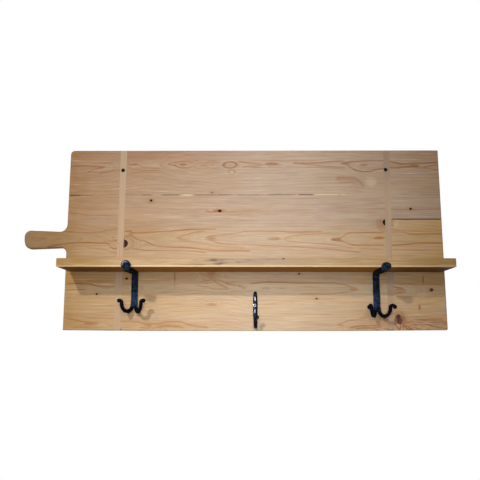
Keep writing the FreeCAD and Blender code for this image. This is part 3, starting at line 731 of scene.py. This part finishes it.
def plank_material(name):
    """A plank's own wood, with its grain, knots, patches and dirty joints."""
    plan = PLANKS[name]
    material, shader, place = new_material(name)
    x, y, z = split_place(place)
    along = field_share(x)
    fibre, streak, hair, cloud, patchy = [
        grain_noise(place, stretch, offset + plan["offset"], detail)
        for stretch, offset, detail in WOOD_NOISES]
    rings = ring_field(place, plan, along, y, z)
    late = late_wood(rings)
    thin = late_wood(rings * 3.0)
    bold = bold_grain(place, plan, along, x, z)
    face = fade(y, FRONT + 2.0, FRONT + 5.0)
    busy = streak * 0.3 + 0.16
    for *oval, strength in plan["busy"]:
        busy = busy + spot(place, *oval) * strength
    drawn = (bold * (streak * 1.8 + 1.05)).clamped()
    shown = (late * 0.20 + thin * busy + streak * 0.2).clamped()
    colour = plank_tones(name, place, along, x, z)
    colour = stained(smooth(patchy, -0.02, 0.24) * 0.6, colour, HONEY_TINT)
    colour = stained(fade(patchy, -0.22, 0.0) * 0.6, colour, ROSE_TINT)
    # The bottom plank also gets the painted shade colour under the shelf.
    if name == "plank_bottom":
        colour = below_shelf(place, along, x, z, colour)
    colour = stained(shown, colour, LATE_TINT)
    colour = stained(drawn, colour, BOLD_TINT)
    colour = blended(smooth(hair, 0.14, 0.28) * 0.32, colour, SCRUBBED)
    colour = stained(fade(hair, -0.30, -0.14) * 0.25, colour, LATE_TINT)
    smudged = smooth(x, 350.0, 430.0) * 0.25 + 0.26
    colour = blended(smooth(cloud, 0.08, 0.26) * smudged, colour, SMUDGE)
    colour = stained(smooth(x, BOARD_RIGHT - 5.0, BOARD_RIGHT - 0.5) * 0.6, colour, END_TINT)
    colour = brightened(colour, fibre * 0.36 + hair * 0.38 + streak * 0.14 + cloud * 0.18 + 1.0)
    colour = patched(place, plan, face, cloud, fibre, colour)
    colour = marked(place, plan, face, colour)
    if name == "plank_handle":
        # The knot hole and a rim round it are dark brown: partly dark knot wood and a stain,
        # partly painted shade inside the hole.
        hole_knot_and_shade = fade(away_from(place, *KNOT_HOLE), 1.04, 1.12)
        colour = blended(hole_knot_and_shade, colour, HOLE_BROWN)
        colour = brightened(colour, curve(along, HANDLE_SHADE))
    colour = joint_lines(name, place, x, z, face, colour)
    relief = late * 0.5 + bold + fibre * 0.8
    finish_surface(shader, colour, WOOD_ROUGHNESS, WOOD_SHINE, relief, WOOD_RELIEF)
    return material


def batten_material():
    """Pale pine with its grain upright."""
    material, shader, place = new_material("batten")
    x, y, z = split_place(place)
    lines = grain_noise(place, (0.5, 0.5, 0.008), 3.0, 2.0)
    fibre = grain_noise(place, (1.4, 1.2, 0.03), 9.0, 3.0)
    patch = grain_noise(place, (0.02, 0.02, 0.01), 12.0, 2.0)
    on_right = smooth(x, 0.0, 1.0)
    colour = blended(smooth(x, -100.0, 100.0), *BATTEN_TONES)
    colour = stained(smooth(lines, 0.0, 0.3) * 0.6, colour, LATE_TINT)
    shade = smooth(z, 120.0, 230.0) * on_right * -0.2
    colour = brightened(colour, fibre * 0.2 + patch * 0.16 + shade + 1.0)
    # Painted shade: a dark ring round each wall screw's head stands for the shade of a
    # countersink.
    for screw_x in WALL_SCREWS:
        rim = away_from(place, screw_x, WALL_SCREW_HEIGHT, SCREW_SHADE_RADIUS, SCREW_SHADE_RADIUS)
        colour = blended(fade(rim, 0.85, 1.1) * 0.85, colour, SCREW_RING_SHADE)
    foot = fade(z, BOARD_BOTTOM + 2.0, BOARD_BOTTOM + 4.5)
    foot = foot * on_right * fade(y, FRONT + 1.0, FRONT + 2.0)
    colour = blended(foot * 0.8, colour, KNOT_BROWN)
    colour = stained(fade(z, -170.0, -110.0) * 0.5, colour, HONEY_TINT)
    finish_surface(shader, colour, WOOD_ROUGHNESS, WOOD_SHINE, fibre, WOOD_RELIEF)
    return material


def shelf_material():
    """Pine, golden at both ends and greyer with small knots in the middle, with painted shade on
    its underside and towards its right end, and a painted highlight along its lower front arris.
    """
    material, shader, place = new_material("shelf_board")
    x, y, z = split_place(place)
    along = field_share(x)
    streak = grain_noise(place, (0.012, 0.12, 0.22), 2.0, 3.0)
    fibre = grain_noise(place, (0.03, 0.9, 1.2), 6.0, 3.0)
    hair = grain_noise(place, (0.012, 0.3, 0.5), 31.0, 2.0)
    worn = smooth(grain_noise(place, (0.01, 0.1, 0.2), 55.0, 3.0), 0.02, 0.2)
    pale = curve(along, SHELF_PALENESS)
    middle_z = SHELF_UNDERSIDE + SHELF_THICKNESS / 2
    grey = spot(place, 10.0, middle_z, 130.0, 60.0)
    knots = smooth(grain_noise(place, (0.022, 0.05, 0.16), 40.0, 3.0), 0.0, 0.2)
    knots = knots * spot(place, -80.0, middle_z, 110.0, 60.0)
    knots = knots * fade(y, SHELF_FRONT + 2.0, SHELF_FRONT + 10.0)
    upper = smooth(z, SHELF_UNDERSIDE + 9.0, SHELF_UNDERSIDE + 20.0)
    colour = blended(pale, SHELF_GOLD, SHELF_PALE)
    colour = stained(smooth(streak, 0.0, 0.22) * 0.45, colour, LATE_TINT)
    colour = stained(fade(hair, -0.28, -0.08) * 0.4, colour, LATE_TINT)
    colour = blended(worn * 0.35, colour, SHELF_WORN)
    colour = blended(grey * 0.6, colour, SHELF_GREY)
    colour = stained(upper, colour, UPPER_TINT)
    colour = blended(knots * 0.9, colour, SHELF_KNOT)
    arris = fade(y, SHELF_FRONT + 3.0, SHELF_FRONT + 6.0)
    # Painted highlight along the lower front arris, fainter where the shelf is less pale.
    painted_highlight = fade(z, SHELF_UNDERSIDE + 2.4, SHELF_UNDERSIDE + 5.4) * arris
    colour = blended(painted_highlight * (pale * 0.45 + 0.4), colour, SHELF_ARRIS_HIGHLIGHT)
    # Painted shade: the underside is a darker brown, darker still towards both ends.
    underside_shade = smooth(y, SHELF_FRONT + 1.6, SHELF_FRONT + 3.0)
    underside_shade = underside_shade * fade(z, SHELF_UNDERSIDE + 0.3, SHELF_UNDERSIDE + 1.5)
    colour = blended(underside_shade, colour, SHELF_UNDERSIDE_SHADE_TONE)
    colour = brightened(colour, (curve(along, SHELF_UNDERSIDE_SHADE_ENDS) - 1.0) * underside_shade + 1.0)
    dent = away_from(place, *SHELF_DENT)
    colour = blended(fade(dent, 0.6, 1.1) * arris, colour, KNOT_BROWN)
    # Painted shade: the shelf grows darker towards its right end.
    colour = brightened(colour, fibre * 0.35 + streak * 0.2 + curve(along, SHELF_RIGHT_END_SHADE))
    relief = streak * 0.5 + fibre
    finish_surface(shader, colour, WOOD_ROUGHNESS, WOOD_SHINE, relief, WOOD_RELIEF)
    return material


# ---- iron and screws: finishes ----

IRON_SHINE = 0.10
FORGED_SHINE = 0.06
IRON_SHEEN = (0.55, 0.72, 1.0, 1.0)
# The grey of the painted highlight crescent on the left bracket's ball.
BALL_HIGHLIGHT_GREY = linear(150, 150, 162)
FORGED_TONES = (linear(6, 8, 12), linear(44, 62, 94))
BLUED_TONES = (linear(14, 22, 36), linear(30, 44, 64))
LACQUER = linear(9, 10, 13)
# The colour of the painted highlights on the centre hook's leaf.
LEAF_HIGHLIGHT = linear(140, 150, 170)
BRIGHT_STEEL = linear(208, 212, 219)
PLAIN_STEEL = linear(150, 150, 152)
DULL_STEEL = linear(104, 94, 84)
# The colour of the painted shade in a screw's recess.
RECESS_SHADE = linear(16, 18, 22)
RECESS_RADIUS = 2.4


def ball_highlight(place, x, z, cloud):
    """A painted highlight: a crescent on the upper right of the left bracket's ball."""
    ball_x = BRACKET_MIDDLES["left"]
    ball_z = SHELF_UNDERSIDE + BALL_LIFTS["left"]
    away = away_from(place, ball_x, ball_z, BALL_RADIUS, BALL_RADIUS)
    rim = fade((away - 0.6 + cloud * 0.3).math("ABSOLUTE"), 0.05, 0.2)
    edge = 1.4 * ball_z - ball_x
    return rim * smooth(z * 1.4 - x, edge - 1.0, edge + 11.0)


def iron_material(name, dark, light, share, roughness):
    """Blacked iron, bluer and smoother on the spots the hammer left high, with a painted highlight
    at the split, a painted highlight crescent on the left ball and painted shade on the arms.
    """
    material, shader, place = new_material(name)
    x, y, z = split_place(place)
    cloud = grain_noise(place, (0.16, 0.16, 0.16), 4.0, 3.0)
    pits = grain_noise(place, (0.9, 0.9, 0.9), 8.0, 3.0)
    knob = fade(y, SHELF_FRONT - 6.0, SHELF_FRONT - 1.5)
    # Painted highlight: the iron is lighter and bluer round the split of each bracket.
    split_highlight = smooth(z, BOARD_BOTTOM + 56.0, BOARD_BOTTOM + 66.0)
    split_highlight = split_highlight * fade(z, BOARD_BOTTOM + 84.0, BOARD_BOTTOM + 100.0)
    # The arms and the hooks, which stand out in front of the bars, are blacker: painted shade on
    # the arms under the shelf, the iron's own black on the hooks.
    bar_front = FRONT - BAR_THICKNESS
    front_black_and_shade = fade(y, bar_front - 5.0, bar_front - 1.5) * knob.inverse()
    lit = cloud + pits * 0.8 + knob * 0.03 + split_highlight * 0.1 - front_black_and_shade * 0.3 + share
    colour = blended(smooth(lit, -0.05, 0.35), dark, light)
    # Painted highlight: a lighter crescent on the left bracket's ball.
    colour = blended(ball_highlight(place, x, z, cloud) * knob * 0.8, colour, BALL_HIGHLIGHT_GREY)
    rough = pits * 0.3 - cloud * 0.3 + front_black_and_shade * 0.3 + roughness
    shader.inputs["Specular Tint"].default_value = IRON_SHEEN
    finish_surface(shader, colour, rough, FORGED_SHINE, pits + cloud * 1.2, 0.0005)
    return material


def centre_hook_material():
    """Black lacquered iron, with painted highlights along the middle of its leaf, above and below
    the screw.
    """
    material, shader, place = new_material("hook_iron")
    _, y, _ = split_place(place)
    pits = grain_noise(place, (0.8, 0.8, 0.35), 8.0, 3.0)
    screw_x, screw_z = CENTRE_HOOK_SCREW
    # Painted highlights above and below the screw, made metallic so that they read as glints.
    above = spot(place, screw_x + 1.2, screw_z + 17.0, 1.6, 8.0)
    below = spot(place, screw_x + 1.0, screw_z - 15.0, 1.8, 10.0) * 0.85
    painted_highlight = smooth(above.math("MAXIMUM", below) + pits * 0.7, 0.5, 0.8)
    painted_highlight = painted_highlight * fade(y, FRONT - 3.0, FRONT - 2.0)
    colour = blended(painted_highlight, LACQUER, LEAF_HIGHLIGHT)
    feed(place.tree, painted_highlight * 0.8, shader.inputs["Metallic"])
    shader.inputs["Specular Tint"].default_value = IRON_SHEEN
    finish_surface(shader, colour, pits * 0.2 + 0.3, IRON_SHINE, pits, 0.0002)
    return material


def steel_material(name, tone, roughness, metallic=1.0, recess=None):
    """Plated or plain steel with fine turning marks, and painted shade in a recess."""
    material, shader, place = new_material(name)
    rub = grain_noise(place, (1.5, 1.5, 1.5), 5.0, 3.0)
    colour = blended(smooth(rub, -0.3, 0.3), tone, [0.6 * share for share in tone[:3]] + [1.0])
    if recess:
        # Painted shade: the recess is darkened.
        recess_shade = fade(away_from(place, *recess), 0.8, 1.15)
        colour = blended(recess_shade, colour, RECESS_SHADE)
    shader.inputs["Metallic"].default_value = metallic
    finish_surface(shader, colour, rub * 0.2 + roughness, IRON_SHINE, rub, 0.00005)
    return material


# ---- forged iron: shapes ----

def heading(angle):
    """Level direction, measured from straight out of the wall towards +X."""
    turn = math.radians(angle)
    return Vector((math.sin(turn), -math.cos(turn), 0))


def bend_run(foot, bend_heading, bend_radius, rise, curl_heading, curl_radius, curl_turn, tip):
    """Middle line of a hook from its foot to its tip, as (place, along, side)."""
    away = heading(bend_heading)
    side = away.cross(UP)
    centre = foot + away * bend_radius
    run = []
    bend_steps = 24
    for i in range(bend_steps + 1):
        turn = math.pi * i / bend_steps
        back, down = bend_radius * math.cos(turn), bend_radius * math.sin(turn)
        place = centre - away * back - UP * down
        run.append((place, away * math.sin(turn) - UP * math.cos(turn), side))
    over = heading(curl_heading)
    curl_centre = centre + away * bend_radius + UP * rise + over * curl_radius
    curl_steps = 12
    for i in range(1, curl_steps + 1):
        turn = math.radians(curl_turn) * i / curl_steps
        back, up = curl_radius * math.cos(turn), curl_radius * math.sin(turn)
        place = curl_centre - over * back + UP * up
        run.append((place, over * math.sin(turn) + UP * math.cos(turn), over.cross(UP)))
    place, along, side = run[-1]
    run.append((place + along * tip, along, side))
    return run


def skin(shape, sections):
    """Closed skin over matching rings of points, added to a mesh."""
    rings = [[shape.verts.new(point) for point in section] for section in sections]
    count = len(rings[0])
    for lower, upper in zip(rings, rings[1:]):
        for i in range(count):
            shape.faces.new((lower[i - 1], lower[i], upper[i], upper[i - 1]))
    shape.faces.new(list(reversed(rings[0])))
    shape.faces.new(rings[-1])


def forged_section(place, along, side, width, thickness, squareness):
    """Section across a bar's run, from round (2) to nearly square (7)."""
    across = along.cross(side).normalized()
    flat = across.cross(along).normalized()
    count = 24
    points = []
    for i in range(count):
        angle = 2 * math.pi * (i + 0.5) / count
        c = math.cos(angle)
        s = math.sin(angle)
        reach_flat = math.copysign(abs(c) ** (2 / squareness), c) * width / 2
        reach_across = math.copysign(abs(s) ** (2 / squareness), s) * thickness / 2
        points.append(place + flat * reach_flat + across * reach_across)
    return points


def ball(shape, centre, radius, rises=1.0):
    """A ball, pressed flatter above its middle by the share of rises."""
    made = bmesh.ops.create_icosphere(shape, subdivisions=4, radius=radius)
    for vertex in made["verts"]:
        if vertex.co.z > 0:
            vertex.co.z *= rises
        vertex.co += centre


def bar_sections(side):
    """The angle bar from the split up the board, round the heel and out to the ball."""
    middle = BRACKET_MIDDLES[side]
    arm = SHELF_UNDERSIDE - BAR_THICKNESS / 2
    bend = HEEL_RADIUS
    stations = [(BAR_MIDDLE, SPLIT_HEIGHTS[side], UP), (BAR_MIDDLE, arm - bend, UP)]
    steps = 8
    for i in range(1, steps):
        turn = math.pi / 2 * i / steps
        y = BAR_MIDDLE - bend + bend * math.cos(turn)
        z = arm - bend + bend * math.sin(turn)
        stations.append((y, z, UP * math.cos(turn) + OUT * math.sin(turn)))
    for y in (BAR_MIDDLE - bend, BALL_REACH + ARM_TIP_LENGTH, BALL_REACH):
        stations.append((y, arm, OUT))
    sizes = [(BAR_WIDTH, BAR_THICKNESS)] * (len(stations) - 2) + [ARM_SPREAD, ARM_TIP]
    sections = []
    for (y, z, along), (width, thickness) in zip(stations, sizes):
        if (width, thickness) == ARM_SPREAD:
            z -= (thickness - BAR_THICKNESS) / 2
        flat = Vector((1, 0, 0)).cross(along).cross(along)
        sections.append(forged_section(Vector((middle, y, z)), along, flat, width, thickness,
                                       BAR_SQUARENESS))
    return sections


def hook_sections(foot, run, round_size):
    """A prong drawn out from nearly square at its foot to round at its tip."""
    run = [(foot + UP * BAR_THICKNESS, -UP, OUT.cross(UP))] + run
    sections = []
    for i, station in enumerate(run):
        share = min(1.0, i / PRONG_SECTIONS)
        width, thickness = [start + (round_size - start) * share for start in PRONG_START]
        squareness = PRONG_SQUARENESS + (ROUND - PRONG_SQUARENESS) * share
        sections.append(forged_section(*station, width, thickness, squareness))
    return sections


def in_scene(name, data):
    """A new object in the scene."""
    made = bpy.data.objects.new(name, data)
    bpy.context.scene.collection.objects.link(made)
    return made


def as_object(name, shape):
    """An object in metres from a mesh in millimetres."""
    bmesh.ops.recalc_face_normals(shape, faces=shape.faces)
    bmesh.ops.scale(shape, vec=(MM, MM, MM), verts=shape.verts)
    mesh = bpy.data.meshes.new(name)
    shape.to_mesh(mesh)
    shape.free()
    return in_scene(name, mesh)


def apply_modifiers(piece):
    """Turn what the modifiers make into the piece's own mesh."""
    graph = bpy.context.evaluated_depsgraph_get()
    mesh = bpy.data.meshes.new_from_object(piece.evaluated_get(graph))
    piece.modifiers.clear()
    piece.data = mesh


def forge(piece, hammer_depth):
    """Weld a piece's parts into one skin and leave the hammer's shallow dents in it."""
    weld = piece.modifiers.new("weld", "REMESH")
    weld.mode = "VOXEL"
    weld.voxel_size = FORGING_VOXEL * MM
    soften = piece.modifiers.new("soften", "SMOOTH")
    soften.factor = 0.5
    soften.iterations = 3
    apply_modifiers(piece)
    mesh = piece.data
    places = [vertex.co.copy() for vertex in mesh.vertices]
    outwards = [vertex.normal.copy() for vertex in mesh.vertices]
    moved = []
    for place, outward in zip(places, outwards):
        nearest = noise.voronoi(place / (HAMMER_GAP * MM))[0][0]
        dent = max(0.0, 1.0 - nearest * nearest * 2.2)
        place -= outward * ((dent * hammer_depth - PLUMPING) * MM)
        place.y = min(place.y, FRONT * MM)
        if place.y > SHELF_FRONT * MM:
            place.z = min(place.z, SHELF_UNDERSIDE * MM)
        moved.extend(place)
    mesh.vertices.foreach_set("co", moved)
    mesh.update()
    mesh.shade_smooth()


def bracket(side, material):
    """An angle bar that ends in a ball under the shelf and in two hooks below."""
    middle = BRACKET_MIDDLES[side]
    hooks = BRACKET_HOOKS[side]
    shape = bmesh.new()
    skin(shape, bar_sections(side))
    ball_x = middle + BALL_SHIFTS[side]
    ball_z = SHELF_UNDERSIDE + BALL_LIFTS[side]
    ball(shape, Vector((ball_x, BALL_REACH, ball_z)), BALL_RADIUS - PLUMPING, BALL_RISES[side])
    for lean, knob_radius, bend_heading, bend_radius, rise, curl_heading, *curl in hooks:
        foot = Vector((middle + lean * (BAR_WIDTH - PRONG_START[0]) / 2, BAR_MIDDLE,
                       SPLIT_HEIGHTS[side]))
        run = bend_run(foot, lean * bend_heading, bend_radius, rise, lean * curl_heading, *curl)
        skin(shape, hook_sections(foot, run, PRONG_ROUND))
        ball(shape, run[-1][0], knob_radius + KNOB_SPREAD)
    piece = as_object("forged_bracket_" + side, shape)
    forge(piece, HAMMER_DEPTH)
    finish_piece(piece, material, "forged_iron", "bracket_" + side)


def centre_hook(material):
    """A small hook drawn out from a flat leaf."""
    shape = bmesh.new()
    side = heading(CENTRE_HOOK_BEND[0]).cross(UP)
    sections = []
    for height, width, thickness in CENTRE_HOOK_LEAF:
        y = FRONT - thickness / 2 + LEAF_SINK
        place = Vector((CENTRE_HOOK_MIDDLE, y, BOARD_BOTTOM + height))
        sections.append(forged_section(place, -UP, side, width, thickness, LEAF_SQUARENESS))
    run = bend_run(Vector((CENTRE_HOOK_MIDDLE, y, CENTRE_HOOK_FOOT)), *CENTRE_HOOK_BEND)
    for station in run:
        sections.append(forged_section(*station, CENTRE_HOOK_ROUND, 0.85 * CENTRE_HOOK_ROUND,
                                       ROUND))
    skin(shape, sections)
    ball(shape, run[-1][0], CENTRE_HOOK_KNOB_RADIUS)
    piece = as_object("forged_centre_hook", shape)
    forge(piece, HAMMER_DEPTH * 0.25)
    finish_piece(piece, material, "hook_iron", "centre_hook")


def turned(shape, rings, flats=40):
    """Round the Z axis through (radius, height) rings, from the bottom up."""
    sections = []
    for radius, height in rings:
        section = []
        for i in range(flats):
            turn = 2 * math.pi * i / flats
            section.append(Vector((radius * math.cos(turn), radius * math.sin(turn), height)))
        sections.append(section)
    skin(shape, sections)


def dome_rings(head, height):
    """A head's rim and its dome, as (radius, height) rings."""
    rings = [(0.48 * head, 0.0), (0.5 * head, 0.08 * head)]
    steps = 7
    rim = 0.1 * head
    for i in range(steps):
        rise = math.pi / 2 * i / steps
        rings.append((0.5 * head * math.cos(rise), rim + (height - rim) * math.sin(rise)))
    rings.append((0.02 * head, height))
    return rings


def wedge(shape, length, width, bottom, top):
    """A tapered bar across a head, for cutting a slot or one wing of a cross."""
    floor = 0.35 * length
    corners = []
    for reach, height in ((floor, bottom), (length, top)):
        corners.append([Vector((x * reach, y * width / 2, height))
                        for x, y in ((-0.5, -1), (0.5, -1), (0.5, 1), (-0.5, 1))])
    skin(shape, corners)


def carve(piece, length, width, bottom, top, *turns):
    """Cut a wedge out of a head at each turn."""
    for turn in turns:
        shape = bmesh.new()
        wedge(shape, length, width, bottom, top)
        bmesh.ops.rotate(shape, matrix=Matrix.Rotation(turn, 3, "Z"), verts=shape.verts)
        tool = as_object("cutter", shape)
        cut = piece.modifiers.new("cut", "BOOLEAN")
        cut.operation = "DIFFERENCE"
        cut.solver = "EXACT"
        cut.object = tool
        apply_modifiers(piece)
        bpy.data.objects.remove(tool)


def centre_hook_screw(material):
    """Bright screw with a low domed head and a cross recess."""
    shape = bmesh.new()
    height = 0.2 * HOOK_SCREW_HEAD
    turned(shape, [(0.4, -15.0), (1.75, -12.0), (1.75, 0.0)] + dome_rings(HOOK_SCREW_HEAD, height))
    piece = as_object("turned_centre_hook_screw", shape)
    turn = HOOK_SCREW_TURN
    carve(piece, 0.6 * HOOK_SCREW_HEAD, 0.15 * HOOK_SCREW_HEAD, 0.3, height + 0.2,
          turn, turn + math.pi / 2)
    screw_x, screw_z = CENTRE_HOOK_SCREW
    place = Vector((screw_x, FRONT - HOOK_SCREW_SEAT, screw_z)) * MM
    piece.data.transform(Matrix.Translation(place) @ FACING_OUT)
    finish_piece(piece, material, "bright_screw", "centre_hook_screw")


def slotted_screw(node, place, turn, material):
    """Slotted screw with a head a little proud of the iron."""
    shape = bmesh.new()
    turned(shape, [(0.4, -IRON_SCREW_LENGTH), (2.0, 3.5 - IRON_SCREW_LENGTH), (2.0, -2.2)]
           + dome_rings(IRON_SCREW_HEAD, IRON_SCREW_RISE))
    piece = as_object("turned_" + node, shape)
    carve(piece, 3.0 * IRON_SCREW_HEAD, 0.13 * IRON_SCREW_HEAD, 0.15, IRON_SCREW_RISE + 0.3,
          SLOT_TURNS[node])
    piece.data.transform(Matrix.Translation(Vector(place) * MM) @ turn)
    finish_piece(piece, material, "iron_screw", node)


def finish_piece(piece, material, slot, *nodes):
    """Give a piece its finish, and let it stand for the nodes it replaces."""
    piece.data.materials.clear()
    piece.data.materials.append(material)
    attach(piece, "root")
    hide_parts(*nodes)


# ---- camera, lamps, floor ----

FLOOR_TONES = (linear(234, 233, 230), linear(240, 239, 237))


def make_camera():
    """The photo's camera, turned by small angles from straight ahead."""
    data = bpy.data.cameras.new("camera")
    data.sensor_width = CAMERA_SENSOR
    data.lens = CAMERA_LENS
    data.clip_start = 0.05
    ahead = Vector((
        -math.sin(CAMERA_TURN_LEFT) * math.cos(CAMERA_PITCH_UP),
        math.cos(CAMERA_TURN_LEFT) * math.cos(CAMERA_PITCH_UP),
        math.sin(CAMERA_PITCH_UP),
    ))
    level = ahead.cross(UP).normalized()
    above = level.cross(ahead)
    right = level * math.cos(CAMERA_ROLL) + above * math.sin(CAMERA_ROLL)
    top = above * math.cos(CAMERA_ROLL) - level * math.sin(CAMERA_ROLL)
    turn = Matrix((right, top, -ahead)).transposed()
    camera = in_scene("camera", data)
    camera.matrix_world = Matrix.Translation(CAMERA_PLACE) @ turn.to_4x4()
    bpy.context.scene.camera = camera


def make_lamp(name, place, aim, size, power, spread):
    """A round soft lamp that points at its aim."""
    data = bpy.data.lights.new(name, "AREA")
    data.shape = "DISK"
    data.size = size
    data.energy = power
    data.spread = math.radians(spread)
    lamp = in_scene(name, data)
    lamp.location = place
    lamp.rotation_euler = (Vector(place) - Vector(aim)).to_track_quat("Z", "Y").to_euler()


def seen_directly(tree):
    """1 where the camera or a reflection looks, 0 where light is gathered."""
    path = tree.nodes.new("ShaderNodeLightPath")
    seen = Signal(tree, path.outputs["Is Camera Ray"])
    for ray in ("Is Glossy Ray", "Is Transmission Ray"):
        seen = seen.math("MAXIMUM", Signal(tree, path.outputs[ray]))
    return seen


def make_world():
    """White where the camera or a reflection sees it, and a low even light elsewhere."""
    world = bpy.data.worlds.new("studio")
    world.use_nodes = True
    tree = world.node_tree
    seen = seen_directly(tree)
    background = tree.nodes["Background"]
    background.inputs["Color"].default_value = (1.0, 1.0, 1.0, 1.0)
    feed(tree, seen * (1.0 - AMBIENT) + AMBIENT, background.inputs["Strength"])
    bpy.context.scene.world = world


def make_floor():
    """A plain pale floor, paler still where it is looked at."""
    shape = bmesh.new()
    bmesh.ops.create_grid(shape, x_segments=2, y_segments=2, size=FLOOR_HALF_WIDTH / MM)
    bmesh.ops.translate(shape, vec=(0, 0, FLOOR_HEIGHT / MM), verts=shape.verts)
    floor = as_object("floor", shape)
    material, shader, place = new_material("floor")
    speckle = grain_noise(place, (0.02, 0.02, 0.02), 1.0, 2.0)
    colour = blended(smooth(speckle, -0.4, 0.4), *FLOOR_TONES)
    feed(place.tree, colour, shader.inputs["Base Color"])
    shader.inputs["Roughness"].default_value = 0.9
    shader.inputs["Emission Color"].default_value = FLOOR_TONES[1]
    glow = seen_directly(place.tree) * FLOOR_PALENESS
    feed(place.tree, glow, shader.inputs["Emission Strength"])
    floor.data.materials.append(material)


def dress(node, material):
    """Give a carried-over node its finish."""
    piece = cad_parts[node]
    for slot in piece.material_slots:
        slot.material = material
    if not piece.material_slots:
        piece.data.materials.append(material)


def main():
    bpy.context.scene.view_settings.view_transform = "Standard"
    make_camera()
    make_world()
    for name, settings in LAMPS.items():
        make_lamp(name, *settings)
    make_floor()
    # The finish of the nodes whose names start so, the first that fits.
    finishes = [(name, plank_material(name)) for name in PLANKS] + [
        ("batten_pin", steel_material("nail", DULL_STEEL, 0.6, metallic=0.1)),
        ("batten", batten_material()),
        ("shelf_board", shelf_material()),
        ("shelf_screw", steel_material("steel_screw", PLAIN_STEEL, 0.45)),
        ("wall_screw", iron_material("wall_screw", *BLUED_TONES, 0.0, 0.35)),
    ]
    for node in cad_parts:
        fitting = [material for start, material in finishes if node.startswith(start)]
        if fitting:
            dress(node, fitting[0])
    iron = iron_material("forged_iron", *FORGED_TONES, 0.06, 0.4)
    for side in BRACKET_MIDDLES:
        bracket(side, iron)
    centre_hook(centre_hook_material())
    # The bright screw gets painted shade in its cross recess.
    recess = (*CENTRE_HOOK_SCREW, RECESS_RADIUS, RECESS_RADIUS)
    centre_hook_screw(steel_material("bright_screw", BRIGHT_STEEL, 0.35, 0.6, recess))
    for side, middle in BRACKET_MIDDLES.items():
        for level, height in BAR_SCREW_HEIGHTS.items():
            place = (middle, FRONT - BAR_THICKNESS - PLUMPING, height)
            slotted_screw("bracket_screw_" + side + "_" + level, place, FACING_OUT, iron)
        place = (middle, FRONT - ARM_SCREW_REACH, SHELF_UNDERSIDE - ARM_DEPTH_AT_SCREW)
        slotted_screw("arm_screw_" + side, place, FACING_DOWN, iron)


main()
